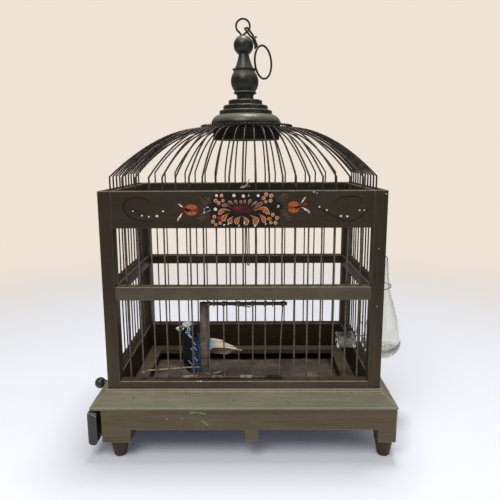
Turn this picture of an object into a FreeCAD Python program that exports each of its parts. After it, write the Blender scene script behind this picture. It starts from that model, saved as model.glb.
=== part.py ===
import FreeCAD, Part
import math
import os
import re
import Sketcher

# Bird cage of painted wood and wire: a four-post frame on a bevelled base, with a tray that slides out
# to the left, a flap door at the front, and a wire dome that ends under a turned wooden crown.
# X runs to the cage's right, Y to its back and Z up. The feet stand on Z = 0, under the cage's centre.

doc = FreeCAD.newDocument("bird_cage")
sizes = doc.addObject("Spreadsheet::Sheet", "Sizes")
known_sizes = []
nodes = []


def set_sizes(piece, values):
    """Writes the named sizes of one piece, in millimetres, into the sheet."""
    for name, size in values.items():
        known_sizes.append(name)
        row = len(known_sizes)
        sizes.set(f"A{row}", piece)
        sizes.set(f"B{row}", str(size))
        sizes.setAlias(f"B{row}", name)
    doc.recompute()


def bound(text):
    """Turns size names in an expression into references to the sheet."""
    return re.sub(r"[a-z_][a-z_0-9]+", lambda word: ("Sizes." if word[0] in known_sizes else "") + word[0], text)


def value(text):
    """Works out an expression from the sheet's present values."""
    result = sizes.evalExpression(bound(text))
    return float(getattr(result, "Value", result))


def spot(x, y, z):
    return FreeCAD.Vector(value(x), value(y), value(z))


def place(item, x="0", y="0", z="0"):
    """Ties an object's place to expressions on the sheet."""
    for axis, text in zip("xyz", (x, y, z)):
        item.setExpression(f"Placement.Base.{axis}", bound(text))


def turn(item, axis, degrees):
    item.Placement = FreeCAD.Placement(item.Placement.Base, FreeCAD.Rotation(FreeCAD.Vector(*axis), degrees))


def node(item, label):
    """Names a finished piece, so that it gets a file of its own."""
    item.Label = label
    nodes.append(item)
    return item


def box(name, x, y, z):
    """A squared board between a low and a high expression on each axis."""
    item = doc.addObject("Part::Box", name)
    for side, (low, high) in zip(("Length", "Width", "Height"), (x, y, z)):
        item.setExpression(side, bound(f"({high}) - ({low})"))
    place(item, x[0], y[0], z[0])
    return item


def cylinder(name, radius, height, x="0", y="0", z="0", axis=None):
    item = doc.addObject("Part::Cylinder", name)
    item.setExpression("Radius", bound(radius))
    item.setExpression("Height", bound(height))
    if axis:
        item.Placement = FreeCAD.Placement(FreeCAD.Vector(), FreeCAD.Rotation(FreeCAD.Vector(0, 0, 1), axis))
    place(item, x, y, z)
    return item


def joined(name, items):
    item = doc.addObject("Part::MultiFuse", name)
    item.Shapes = items
    return item


def cut(name, base, tool):
    item = doc.addObject("Part::Cut", name)
    item.Base = base
    item.Tool = tool
    return item


def group(name, items):
    """Separate solids that share a node."""
    item = doc.addObject("Part::Compound", name)
    item.Links = items
    return item


def arc_edge(start, end, radius):
    """The minor arc from start to end; a positive radius turns left, a negative one right."""
    chord = end - start
    side = FreeCAD.Vector(-chord.y, chord.x, 0).normalize() * math.copysign(1, radius)
    reach = math.sqrt(max(radius ** 2 - (chord.Length / 2) ** 2, 0))
    centre = (start + end) / 2 + side * reach
    first, last = (start, end) if radius > 0 else (end, start)
    angles = [math.atan2(tip.y - centre.y, tip.x - centre.x) for tip in (first, last)]
    circle = Part.Circle(centre, FreeCAD.Vector(0, 0, 1), abs(radius))
    return Part.ArcOfCircle(circle, angles[0], angles[1])


def outline(body, plane, corners):
    """A closed sketch whose corners are bound to the sheet.
    A corner is (across, up), and with a third expression the edge that arrives there is an arc of that radius."""
    sketch = body.newObject("Sketcher::SketchObject", body.Name + "_outline")
    base = [feature for feature in body.Origin.OriginFeatures if feature.Role == plane + "_Plane"]
    sketch.AttachmentSupport = [(base[0], "")]
    sketch.MapMode = "FlatFace"
    spots = [FreeCAD.Vector(value(corner[0]), value(corner[1]), 0) for corner in corners]
    starts = []
    for index, start in enumerate(spots):
        following = (index + 1) % len(spots)
        radius = value(corners[following][2]) if len(corners[following]) > 2 else 0
        if radius:
            sketch.addGeometry(arc_edge(start, spots[following], radius))
        else:
            sketch.addGeometry(Part.LineSegment(start, spots[following]))
        starts.append(1 if radius >= 0 else 2)
    for index, start in enumerate(starts):
        following = (index + 1) % len(spots)
        meet = (index, 3 - start, following, starts[following])
        sketch.addConstraint(Sketcher.Constraint("Coincident", *meet))
    for index, corner in enumerate(corners):
        for kind, text, distance in zip(("DistanceX", "DistanceY"), corner, spots[index]):
            fixed = sketch.addConstraint(Sketcher.Constraint(kind, -1, 1, index, starts[index], distance))
            sketch.setExpression(f"Constraints[{fixed}]", bound(text))
        if len(corner) > 2:
            edge = index - 1 if index else len(corners) - 1
            fixed = sketch.addConstraint(Sketcher.Constraint("Radius", edge, abs(value(corner[2]))))
            sketch.setExpression(f"Constraints[{fixed}]", bound(f"abs({corner[2]})"))
    return sketch


def skin(rings, closed=True):
    """A solid whose flats join each ring of points to the next, and the last to the first if it is closed."""
    pairs = list(zip(rings, rings[1:]))
    flats = []
    if closed:
        pairs.append((rings[-1], rings[0]))
    else:
        flats = [Part.Face(Part.makePolygon(ring + ring[:1])) for ring in (rings[0][::-1], rings[-1])]
    for ring, beyond in pairs:
        for side, start in enumerate(ring):
            after = (side + 1) % len(ring)
            corners = []
            for corner in (start, beyond[side], beyond[after], ring[after]):
                if corner not in corners:
                    corners.append(corner)
            if len(corners) > 2:
                flats.append(Part.Face(Part.makePolygon(corners + corners[:1])))
    solid = Part.Solid(Part.Shell(flats))
    if solid.Volume < 0:
        solid.reverse()
    return solid


def section(corners):
    """The points of a lathe profile: each corner is (radius, height), or with a third expression
    the stretch that arrives there is an arc of that radius, kept to chords within arc_flatness of it."""
    spots = [FreeCAD.Vector(value(corner[0]), value(corner[1]), 0) for corner in corners]
    points = []
    for index, corner in enumerate(corners):
        radius = value(corner[2]) if len(corner) > 2 else 0
        if radius:
            arc = arc_edge(spots[index - 1], spots[index], radius).toShape()
            turn_per_chord = 2 * math.acos(1 - min(sizes.arc_flatness / abs(radius), 1))
            chords = math.ceil(arc.Length / abs(radius) / turn_per_chord)
            between = arc.discretize(chords + 1)[1:-1]
            points += between if radius > 0 else between[::-1]
        points.append(spots[index])
    return [(point.x, point.y) for point in points]


def revolved(points, squash=1):
    """A turned form with flats round it, as many as keep its widest ring within arc_flatness."""
    widest = max(radius for radius, level in points)
    flats = 4 * math.ceil(math.pi / math.acos(1 - sizes.arc_flatness / widest) / 4)
    rings = []
    for step in range(flats):
        angle = 2 * math.pi * step / flats
        across, along = math.cos(angle), math.sin(angle) * squash
        rings.append([FreeCAD.Vector(radius * across, radius * along, level) for radius, level in points])
    return skin(rings)


def turned(name, corners):
    """A piece turned on a lathe about the Z axis."""
    return shaped(name, revolved(section(corners)))


def sawn(name, plane, corners, thickness):
    """A board sawn to an outline, with its thickness centred on the plane."""
    body = doc.addObject("PartDesign::Body", name)
    pad = body.newObject("PartDesign::Pad", name + "_board")
    pad.Profile = outline(body, plane, corners)
    pad.SideType = "Symmetric"
    pad.setExpression("Length", bound(thickness))
    return body


def shaped(name, shape):
    item = doc.addObject("Part::Feature", name)
    item.Shape = shape
    return item


def wire_rod(points, radius, sides=6):
    """Drawn wire along straight runs with mitred bends, its round section kept to a few flats."""
    ahead = (points[1] - points[0]).normalize()
    across = ahead.cross(FreeCAD.Vector(0, 0, 1))
    if across.Length < 0.01:
        across = FreeCAD.Vector(0, 1, 0)
    across.normalize()
    beside = ahead.cross(across)
    angles = [2 * math.pi * step / sides for step in range(sides + 1)]
    rim = [points[0] + (across * math.cos(angle) + beside * math.sin(angle)) * radius for angle in angles]
    if len(points) == 2:
        return Part.Face(Part.makePolygon(rim)).extrude(points[1] - points[0])
    return Part.makePolygon(points).makePipeShell([Part.makePolygon(rim)], True, False, 1)


def wire_hoop(centre, axis, radius, thickness, corners=16, sides=6):
    """A closed hoop of wire in the plane square to the axis, as mitred runs with a few flats."""
    ahead = FreeCAD.Vector(axis).normalize()
    along = ahead.cross(FreeCAD.Vector(0, 0, 1))
    if along.Length < 0.01:
        along = FreeCAD.Vector(1, 0, 0)
    along.normalize()
    beside = ahead.cross(along)
    rims = []
    for corner in range(corners):
        angle = 2 * math.pi * corner / corners
        out = along * math.cos(angle) + beside * math.sin(angle)
        rim = []
        for side in range(sides):
            lean = 2 * math.pi * side / sides
            reach = radius + thickness * math.cos(lean) / math.cos(math.pi / corners)
            rim.append(centre + out * reach + ahead * (thickness * math.sin(lean)))
        rims.append(rim)
    return skin(rims)


all_sizes = {"arc_flatness": 0.2}
set_sizes("all", all_sizes)

# Base: aprons on turned feet, ledge strips and bevelled mouldings, with the left end open for the tray.
base_sizes = {
    "foot_height": 21, "foot_top_radius": 9.3, "foot_tip_radius": 6.8, "foot_tip_round": 1.2,
    "apron_left_extent": 5, "apron_end_setback": 0.5, "apron_thick": 12, "apron_setback": 2,
    "apron_height": 16.5, "drop_height": 14.5, "left_drop_width": 30, "right_drop_width": 18.7,
    "tab_centre": 8.2, "tab_width": 13.6, "tab_height": 12.6,
    "block_depth": 17, "runner_height": 3, "runner_width": 10,
    "ledge_thick": 5.4, "ledge_inset_x": 28, "ledge_inset_y": 27.5,
    "moulding_overhang": 16, "moulding_height": 18.6, "moulding_edge": 2.3,
    "lip_setback": 2, "lip_rise": 1.8, "fillet_out": 2, "slope_top": 15.6}
set_sizes("base", base_sizes)

# Frame: four posts with a deep board round the top, a mid rail and a low board on each side.
frame_sizes = {
    "frame_width": 290, "frame_depth": 185, "frame_height": 228, "post_side": 13.5,
    "front_rail_thick": 12, "side_rail_thick": 13, "top_board_height": 37.6,
    "mid_rail_top": 129.6, "front_mid_height": 14.3, "rear_mid_height": 11.3,
    "front_low_height": 26.5, "lower_board_height": 32.4}
set_sizes("frame", frame_sizes)

half_width = "(frame_width / 2)"
half_depth = "(frame_depth / 2)"
apron_face = f"({half_depth} + moulding_overhang - apron_setback)"
apron_left = f"({half_width} + apron_left_extent)"
apron_right = f"({half_width} + moulding_overhang - apron_end_setback)"
apron_low = "(foot_height + drop_height)"
ledge_low = f"({apron_low} + apron_height)"
frame_low = f"({ledge_low} + ledge_thick)"
frame_top = f"({frame_low} + frame_height)"
mid_top = f"({frame_low} + mid_rail_top)"


def mirrored_y(side, near, far):
    """A span in Y, on the front for side -1 and on the rear for side 1."""
    return (f"-({far})", f"-({near})") if side < 0 else (near, far)


def mirrored_x(side, near, far):
    return (f"-({far})", f"-({near})") if side < 0 else (near, far)


left_drop_x = f"(-{apron_left} + left_drop_width / 2)"
right_drop_x = f"({apron_right} - right_drop_width / 2)"
foot_y = f"({apron_face} - (apron_thick + block_depth) / 2)"
feet = []
for place_name, foot_x, foot_side in (("fl", left_drop_x, "-"), ("fr", right_drop_x, "-"),
                                      ("rl", left_drop_x, ""), ("rr", right_drop_x, "")):
    foot = turned("foot_" + place_name, [
        ("0", "0"), ("foot_tip_radius - foot_tip_round", "0"),
        ("foot_tip_radius", "foot_tip_round"), ("foot_top_radius", "foot_height"), ("0", "foot_height")])
    place(foot, foot_x, foot_side + foot_y)
    feet.append(foot)
node(group("feet_set", feet), "feet")

apron_corners = [
    (f"-{apron_left}", "0"), (f"-{apron_left} + left_drop_width", "0"),
    (f"-{apron_left} + left_drop_width", "drop_height"),
    ("tab_centre - tab_width / 2", "drop_height"), ("tab_centre - tab_width / 2", "drop_height - tab_height"),
    ("tab_centre + tab_width / 2", "drop_height - tab_height"), ("tab_centre + tab_width / 2", "drop_height"),
    (f"{apron_right} - right_drop_width", "drop_height"), (f"{apron_right} - right_drop_width", "0"),
    (apron_right, "0"), (apron_right, "drop_height + apron_height"),
    (f"-{apron_left}", "drop_height + apron_height")]
for name, side in (("front_apron", -1), ("rear_apron", 1)):
    apron = sawn(name + "_body", "XZ", apron_corners, "apron_thick")
    place(apron, "0", f"{side} * ({apron_face} - apron_thick / 2)", "foot_height")
    node(apron, name)

apron_inside = f"({apron_face} - apron_thick)"
side_drop = "(apron_thick + block_depth)"
side_corners = [
    (f"-{apron_inside}", "0"), (f"-{apron_face} + {side_drop}", "0"),
    (f"-{apron_face} + {side_drop}", "drop_height"), (f"{apron_face} - {side_drop}", "drop_height"),
    (f"{apron_face} - {side_drop}", "0"), (apron_inside, "0"),
    (apron_inside, "drop_height + apron_height"), (f"-{apron_inside}", "drop_height + apron_height")]
right_apron = sawn("right_apron_body", "YZ", side_corners, "apron_thick")
place(right_apron, f"{apron_right} - apron_thick / 2", "0", "foot_height")
node(right_apron, "right_apron")

blocks = []
block_spans = (("left", f"-{apron_left}", f"-{apron_left} + left_drop_width"),
               ("right", f"{apron_right} - right_drop_width", f"{apron_right} - apron_thick"))
for name, low, high in block_spans:
    for end, side in (("front", -1), ("rear", 1)):
        reach = mirrored_y(side, f"{apron_inside} - block_depth", apron_inside)
        blocks.append(box(f"block_{end}_{name}", (low, high), reach, ("foot_height", apron_low)))
node(group("block_set", blocks), "corner_blocks")

runners = []
for end, side in (("front", -1), ("rear", 1)):
    reach = mirrored_y(side, f"{apron_inside} - runner_width", apron_inside)
    runners.append(box("runner_" + end, (f"-{apron_left}", f"{apron_right} - apron_thick"), reach,
                       (apron_low, f"{apron_low} + runner_height")))
node(group("runner_set", runners), "tray_runners")

ledge_inner_x = f"({half_width} - ledge_inset_x)"
ledge_inner_y = f"({half_depth} - ledge_inset_y)"
ledges = []
for end, side in (("front", -1), ("rear", 1)):
    ledges.append(box("ledge_" + end, (f"-{apron_left}", apron_right),
                      mirrored_y(side, ledge_inner_y, apron_face), (ledge_low, frame_low)))
for end, low, high in (("left", f"-{apron_left}", f"-{ledge_inner_x}"), ("right", ledge_inner_x, apron_right)):
    ledges.append(box("ledge_" + end, (low, high), (f"-{ledge_inner_y}", ledge_inner_y),
                      (ledge_low, frame_low)))
node(group("ledge_set", ledges), "base_ledges")

# Each moulding is a bevelled length with a lip below and a fillet above, mitred at 45 degrees.
moulding_corners = [
    ("0", "0"), ("moulding_overhang - lip_setback", "0"), ("moulding_overhang - lip_setback", "lip_rise"),
    ("moulding_overhang", "lip_rise"), ("moulding_overhang", "lip_rise + moulding_edge"),
    ("fillet_out", "slope_top"), ("fillet_out", "moulding_height"), ("0", "moulding_height")]


def moulding_solid(half_run, half_stand):
    """Runs the bevelled section from one mitre to the other.
    half_run is half the frame's side that it lies along, half_stand the distance of its inner face."""
    rings = []
    for end in (-1, 1):
        corners = [(value(out), value(up)) for out, up in moulding_corners]
        rings.append([FreeCAD.Vector(end * (half_run + out), half_stand + out, up) for out, up in corners])
    return skin(rings, closed=False)


frame_halves = (value(half_width), value(half_depth))
for name, degrees in (("rear_moulding", 0), ("left_moulding", 90), ("front_moulding", 180),
                      ("right_moulding", 270)):
    run, stand = frame_halves if degrees % 180 == 0 else frame_halves[::-1]
    moulding = shaped(name + "_length", moulding_solid(run, stand))
    turn(moulding, (0, 0, 1), degrees)
    place(moulding, "0", "0", frame_low)
    node(moulding, name)

# The frame's posts, boards and rails.
post_inner_x = f"({half_width} - post_side)"
post_inner_y = f"({half_depth} - post_side)"
for end, side in (("front", -1), ("rear", 1)):
    posts = []
    for hand, sign in (("left", -1), ("right", 1)):
        posts.append(box(f"{end}_post_{hand}", mirrored_x(sign, post_inner_x, half_width),
                         mirrored_y(side, post_inner_y, half_depth), (frame_low, frame_top)))
    node(group(f"{end}_post_pair", posts), f"{end}_posts")

rail_levels = {
    "top_board": (f"{frame_top} - top_board_height", frame_top),
    "mid_rail": (f"{mid_top} - front_mid_height", mid_top),
    "lower_board": (frame_low, f"{frame_low} + lower_board_height")}
for end, side in (("front", -1), ("rear", 1)):
    reach = mirrored_y(side, f"{half_depth} - front_rail_thick", half_depth)
    for kind, levels in rail_levels.items():
        if kind == "lower_board" and side < 0:
            levels = (frame_low, f"{frame_low} + front_low_height")
        if kind == "mid_rail" and side > 0:
            levels = (f"{mid_top} - rear_mid_height", mid_top)
        rail = box(f"{end}_{kind}_piece", (f"-{post_inner_x}", post_inner_x), reach, levels)
        node(rail, f"{end}_{kind}")
for kind, levels in rail_levels.items():
    pair = []
    for hand, sign in (("left", -1), ("right", 1)):
        reach = mirrored_x(sign, f"{half_width} - side_rail_thick", half_width)
        pair.append(box(f"{hand}_{kind}_piece", reach, (f"-{post_inner_y}", post_inner_y), levels))
    node(group(f"side_{kind}_pair", pair), f"side_{kind}s")

# Upright bars of drawn wire, driven into the low boards, through the mid rails and into the top boards.
bars_sizes = {"bar_thick": 1.6, "bar_pitch": 13.4, "bar_seat": 6, "door_side_bars": 4}
set_sizes("bars", bars_sizes)

bar_radius = sizes.bar_thick / 2
front_line = value(f"{half_depth} - front_rail_thick / 2")
side_line = value(f"{half_width} - side_rail_thick / 2")
bars_across = int(value(f"2 * {post_inner_x} / bar_pitch"))
bars_deep = int(value(f"2 * {post_inner_y} / bar_pitch"))
bar_high = value(f"{frame_top} - top_board_height + bar_seat")
rear_bar_low = value(f"{frame_low} + lower_board_height - bar_seat")
front_bar_low = value(f"{frame_low} + front_low_height - bar_seat")
door_bar_low = value(f"{mid_top} - front_mid_height + bar_seat / 2")


def bar_places(count):
    """Bars stand at an even pitch on both sides of the middle."""
    return [(index - (count - 1) / 2) * sizes.bar_pitch for index in range(count)]


def upright(x, y, low, high):
    return wire_rod([FreeCAD.Vector(x, y, low), FreeCAD.Vector(x, y, high)], bar_radius)


door_reach = sizes.door_side_bars * sizes.bar_pitch
front_bars, rear_bars, side_bars = [], [], []
for x in bar_places(bars_across):
    over_door = abs(x) < door_reach - sizes.bar_pitch / 2
    front_bars.append(upright(x, -front_line, door_bar_low if over_door else front_bar_low, bar_high))
    rear_bars.append(upright(x, front_line, rear_bar_low, bar_high))
for y in bar_places(bars_deep):
    for sign in (-1, 1):
        side_bars.append(upright(sign * side_line, y, rear_bar_low, bar_high))
node(shaped("front_bar_row", Part.makeCompound(front_bars)), "front_bars")
node(shaped("rear_bar_row", Part.makeCompound(rear_bars)), "rear_bars")
node(shaped("side_bar_rows", Part.makeCompound(side_bars)), "side_bars")

# Dome wires: each rises from the frame's top, kinks and curves in to the hub. The curve's rise is
# 1 - (1 - run) ** dome_fullness, so it is steep over the frame and nearly level at the binding ring.
dome_sizes = {
    "dome_stub": 13.1, "dome_ring_radius": 51, "dome_ring_rise": 64.7,
    "dome_end_radius": 34, "dome_end_rise": 66.7,
    "dome_fullness": 1.9, "dome_runs": 5, "ring_wire_radius": 1.3,
    "hub_radius": 38, "hub_rise": 52.2, "hub_thick": 13, "hub_bore_radius": 10.1, "crown_lift": 0.2,
    "ring_gap": 0.1, "ring_corners": 48}
set_sizes("dome", dome_sizes)

dome_base = value(frame_top)


def dome_wire(x, y):
    reach = math.hypot(x, y)
    heading = FreeCAD.Vector(x / reach, y / reach, 0)
    points = [FreeCAD.Vector(x, y, dome_base - sizes.bar_seat)]
    for step in range(sizes.dome_runs + 1):
        run = step / sizes.dome_runs
        rise = 1 - (1 - run) ** sizes.dome_fullness
        radius = reach + (sizes.dome_ring_radius - reach) * run
        level = sizes.dome_stub + (sizes.dome_ring_rise - sizes.dome_stub) * rise
        points.append(heading * radius + FreeCAD.Vector(0, 0, dome_base + level))
    points.append(heading * sizes.dome_end_radius + FreeCAD.Vector(0, 0, dome_base + sizes.dome_end_rise))
    return wire_rod(points, bar_radius)


for label, side in (("front_dome_wires", -1), ("rear_dome_wires", 1)):
    wires = [dome_wire(x, side * front_line) for x in bar_places(bars_across)]
    node(shaped(label + "_fan", Part.makeCompound(wires)), label)
wires = [dome_wire(sign * side_line, y) for y in bar_places(bars_deep) for sign in (-1, 1)]
node(shaped("side_dome_wires_fan", Part.makeCompound(wires)), "side_dome_wires")

hub = turned("hub_turning_body", [
    ("hub_bore_radius", "0"), ("hub_radius", "0"), ("hub_radius", "hub_thick"),
    ("hub_bore_radius", "hub_thick")])
place(hub, "0", "0", f"{frame_top} + hub_rise")
node(hub, "hub_disc")

ring_level = f"{frame_top} + dome_ring_rise + bar_thick / 2 + ring_wire_radius + ring_gap"
ring = wire_hoop(spot("0", "0", ring_level), (0, 0, 1), sizes.dome_ring_radius, sizes.ring_wire_radius,
                 sizes.ring_corners)
node(shaped("binding_ring_hoop", ring), "binding_ring")

# Crown and finial: turned pieces stacked on the dome, each with a tenon in the one below.
crown_sizes = {
    "crown_foot_radius": 36.5, "cushion_radius": 39.2, "cushion_lip": 2.6, "cushion_height": 14.4,
    "cushion_top_radius": 31, "cushion_bulge": 13, "step_round": 1.4,
    "low_step_radius": 29.6, "low_step_height": 5.2, "mid_step_radius": 25, "mid_step_height": 5.8,
    "top_step_radius": 18.8, "top_step_height": 5.7, "crown_tenon_radius": 10,
    "crown_tenon_length": 12}
set_sizes("crown", crown_sizes)
finial_sizes = {
    "foot_neck_radius": 8.9, "foot_neck_height": 4.2, "lower_disc_radius": 12.4, "lower_disc_height": 3.7,
    "lower_ball_radius": 15.1, "lower_ball_height": 20.8, "collar_radius": 12.4, "collar_height": 4.3,
    "flare_low_radius": 8.9, "flare_top_radius": 5.6, "flare_height": 17, "flare_curve": 42,
    "top_ball_radius": 10.6, "finial_tenon_radius": 5, "finial_tenon_length": 12, "tenon_clearance": 0.1,
    "disc_round": 2.1, "collar_round": 2.4, "eye_bore_radius": 1.4, "eye_stem_length": 8}
set_sizes("finial", finial_sizes)

crown_low = f"({frame_top} + dome_end_rise + bar_thick / 2 + crown_lift)"
low_step = "cushion_height"
mid_step = "(cushion_height + low_step_height)"
top_step = "(cushion_height + low_step_height + mid_step_height)"
crown_height = "(cushion_height + low_step_height + mid_step_height + top_step_height)"


def rounded_step(radius, base, top):
    """The side of a flat step with a rounded upper edge."""
    return [(radius, base), (radius, f"{top} - step_round"), (f"{radius} - step_round", top, "step_round")]


crown = turned("crown_turning_body", [
    ("0", "-crown_tenon_length"), ("crown_tenon_radius", "-crown_tenon_length"), ("crown_tenon_radius", "0"),
    ("crown_foot_radius", "0"), ("cushion_radius", "cushion_lip"),
    ("cushion_top_radius", "cushion_height", "cushion_bulge")]
    + rounded_step("low_step_radius", low_step, mid_step)
    + rounded_step("mid_step_radius", mid_step, top_step)
    + rounded_step("top_step_radius", top_step, crown_height)
    + [("finial_tenon_radius + tenon_clearance", crown_height),
       ("finial_tenon_radius + tenon_clearance", f"{crown_height} - finial_tenon_length - tenon_clearance"),
       ("0", f"{crown_height} - finial_tenon_length - tenon_clearance")])
place(crown, "0", "0", crown_low)
node(crown, "crown")

disc_low = "foot_neck_height"
ball_low = "(foot_neck_height + lower_disc_height)"
ball_middle = "(foot_neck_height + lower_disc_height + lower_ball_height / 2)"
collar_low = "(foot_neck_height + lower_disc_height + lower_ball_height)"
flare_low = "(foot_neck_height + lower_disc_height + lower_ball_height + collar_height)"
flare_top = f"({flare_low} + flare_height)"
ball_seat = "sqrt(lower_ball_radius ^ 2 - (lower_ball_height / 2) ^ 2)"
top_ball_middle = f"({flare_top} + sqrt(top_ball_radius ^ 2 - flare_top_radius ^ 2))"
ball_rise = "sqrt(top_ball_radius ^ 2 - eye_bore_radius ^ 2)"
eye_bore_end = f"{top_ball_middle} + top_ball_radius - eye_stem_length - tenon_clearance"
finial = turned("finial_turning_body", [
    ("0", "-finial_tenon_length"), ("finial_tenon_radius", "-finial_tenon_length"),
    ("finial_tenon_radius", "0"), ("foot_neck_radius", "0"), ("foot_neck_radius", disc_low),
    ("lower_disc_radius - disc_round", disc_low), ("lower_disc_radius - disc_round", ball_low, "disc_round"),
    (ball_seat, ball_low), (ball_seat, collar_low, "lower_ball_radius"),
    ("collar_radius - collar_round", collar_low), ("collar_radius - collar_round", flare_low, "collar_round"),
    ("flare_low_radius", flare_low), ("flare_top_radius", flare_top, "-flare_curve"),
    ("eye_bore_radius", f"{top_ball_middle} + {ball_rise}", "top_ball_radius"),
    ("eye_bore_radius", eye_bore_end), ("0", eye_bore_end)])
place(finial, "0", "0", f"{crown_low} + {crown_height}")
node(finial, "finial")

# Wire eye in the top ball, and the hanging ring that is looped through it.
hanger_sizes = {
    "eye_radius": 7.65, "eye_wire_radius": 0.85, "eye_stem_radius": 1.3,
    "link_radius": 3.6, "link_wire_radius": 0.8, "link_slack": 0.3, "link_angle": -25,
    "shank_width": 3, "shank_thick": 1.5, "hoop_radius": 18.2, "hoop_wire_radius": 0.85,
    "hoop_centre_out": 22.6, "hoop_centre_drop": 38.6, "hoop_turn": 57, "shank_seat": 132,
    "link_corners": 12, "eye_corners": 16, "hoop_corners": 28}
set_sizes("hanger", hanger_sizes)

finial_top = f"({crown_low} + {crown_height} + {top_ball_middle} + top_ball_radius)"
eye_level = f"({finial_top} + eye_radius + eye_wire_radius + tenon_clearance)"
eye_centre = spot("0", "0", eye_level)
eye_loop = wire_hoop(eye_centre, (0, 1, 0), sizes.eye_radius, sizes.eye_wire_radius, sizes.eye_corners)
stem_foot = spot("0", "0", f"{finial_top} - eye_stem_length")
stem_head = spot("0", "0", f"{finial_top} + eye_wire_radius")
eye_wire = eye_loop.fuse(wire_rod([stem_foot, stem_head], sizes.eye_stem_radius))
node(shaped("eye_wire", eye_wire), "hanging_eye")

link_turn = math.radians(sizes.link_angle)
link_ray = FreeCAD.Vector(math.cos(link_turn), 0, math.sin(link_turn))
link_offset = sizes.link_radius - sizes.link_wire_radius - sizes.eye_wire_radius - sizes.link_slack
link_centre = eye_centre + link_ray * (sizes.eye_radius + link_offset)
link_axis = FreeCAD.Vector(-link_ray.z, 0, link_ray.x)
hoop_centre = eye_centre + FreeCAD.Vector(sizes.hoop_centre_out, 0, -sizes.hoop_centre_drop)
hoop_face = FreeCAD.Vector(math.sin(math.radians(sizes.hoop_turn)), -math.cos(math.radians(sizes.hoop_turn)), 0)
hoop_across = FreeCAD.Vector(0, 0, 1).cross(hoop_face)
shank_top = link_centre + link_ray * sizes.link_radius
seat = math.radians(sizes.shank_seat)
shank_foot = hoop_centre + hoop_across * (sizes.hoop_radius * math.cos(seat))
shank_foot = shank_foot + FreeCAD.Vector(0, 0, sizes.hoop_radius * math.sin(seat))
shank_run = shank_foot - shank_top
shank = Part.makeBox(sizes.shank_thick, sizes.shank_width, shank_run.Length,
                     FreeCAD.Vector(-sizes.shank_thick / 2, -sizes.shank_width / 2, 0))
shank.Placement = FreeCAD.Placement(shank_top, FreeCAD.Rotation(FreeCAD.Vector(0, 0, 1), shank_run))
link = wire_hoop(link_centre, link_axis, sizes.link_radius, sizes.link_wire_radius, sizes.link_corners)
hoop = wire_hoop(hoop_centre, hoop_face, sizes.hoop_radius, sizes.hoop_wire_radius, sizes.hoop_corners)
node(shaped("hanging_ring_wire", link.fuse([shank, hoop])), "hanging_ring")

# Flap door: six wires on a stout top bar, which turns in two staples under the front mid rail.
door_sizes = {
    "door_bar_radius": 1.9, "door_bar_drop": 5.1, "door_half_width": 45.6, "door_wire_count": 6,
    "door_wire_pitch": 15.3, "door_foot_radius": 1, "door_foot_gap": 2.5, "sleeve_radius": 1.8,
    "sleeve_length": 13, "sleeve_fit": 0.05, "stop_reach": 20, "stop_gap": 0.3,
    "door_weld": 0.6, "staple_radius": 0.6, "staple_gap": 0.3, "staple_offset": 30.6, "staple_seat": 4}
set_sizes("door", door_sizes)

front_rail_low = f"({mid_top} - front_mid_height)"
door_y = f"(-{half_depth} + front_rail_thick / 2)"
door_axis = f"({front_rail_low} - door_bar_drop)"
door_foot = f"({frame_low} + front_low_height + door_foot_gap)"
door_bar = cylinder("door_bar", "door_bar_radius", "2 * door_half_width", "-door_half_width", door_y, door_axis,
                    FreeCAD.Vector(1, 0, 0))
node(door_bar, "door_top_bar")
bar_line = spot("0", door_y, door_axis)
foot_line = spot("0", door_y, door_foot)
door_wires = []
for index in range(sizes.door_wire_count):
    x = (index - (sizes.door_wire_count - 1) / 2) * sizes.door_wire_pitch
    ends = [FreeCAD.Vector(x, foot_line.y, foot_line.z + sizes.door_foot_radius - sizes.door_weld),
            FreeCAD.Vector(x, bar_line.y, bar_line.z - sizes.door_bar_radius + sizes.door_weld)]
    door_wires.append(wire_rod(ends, bar_radius))
node(shaped("door_wire_row", Part.makeCompound(door_wires)), "door_wires")
foot_ends = [FreeCAD.Vector(sign * sizes.door_half_width, foot_line.y, foot_line.z) for sign in (-1, 1)]
node(shaped("door_foot_wire", wire_rod(foot_ends, sizes.door_foot_radius)), "door_bottom_bar")
sleeves = []
for index, place_name in ((1, "left"), (3, "middle"), (5, "right")):
    shift = f"({index} - door_wire_count / 2) * door_wire_pitch - sleeve_length / 2"
    sleeve = turned("sleeve_" + place_name, [
        ("door_foot_radius + sleeve_fit", "0"), ("sleeve_radius", "0"), ("sleeve_radius", "sleeve_length"),
        ("door_foot_radius + sleeve_fit", "sleeve_length")])
    turn(sleeve, (0, 1, 0), 90)
    place(sleeve, shift, door_y, door_foot)
    sleeves.append(sleeve)
node(group("sleeve_set", sleeves), "door_sleeves")
stop_y = foot_line.y - 2 * bar_radius - sizes.stop_gap
stop_points = [FreeCAD.Vector(-sizes.door_half_width, foot_line.y, foot_line.z),
               FreeCAD.Vector(-sizes.door_half_width - (foot_line.y - stop_y), stop_y, foot_line.z),
               FreeCAD.Vector(-sizes.door_half_width - sizes.stop_reach, stop_y, foot_line.z)]
node(shaped("door_stop_wire", wire_rod(stop_points, bar_radius)), "door_stop")

staples = []
staple_half = sizes.door_bar_radius + sizes.staple_gap + sizes.staple_radius
staple_high = value(front_rail_low) + sizes.staple_seat
for sign in (-1, 1):
    loop = [FreeCAD.Vector(sign * sizes.staple_offset, bar_line.y - staple_half, staple_high)]
    for degrees in (180, 225, 270, 315, 360):
        angle = math.radians(degrees)
        loop.append(FreeCAD.Vector(sign * sizes.staple_offset, bar_line.y + staple_half * math.cos(angle),
                                   bar_line.z + staple_half * math.sin(angle)))
    loop.append(FreeCAD.Vector(sign * sizes.staple_offset, bar_line.y + staple_half, staple_high))
    staples.append(wire_rod(loop, sizes.staple_radius))
node(shaped("staple_pair", Part.makeCompound(staples)), "door_staples")

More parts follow.
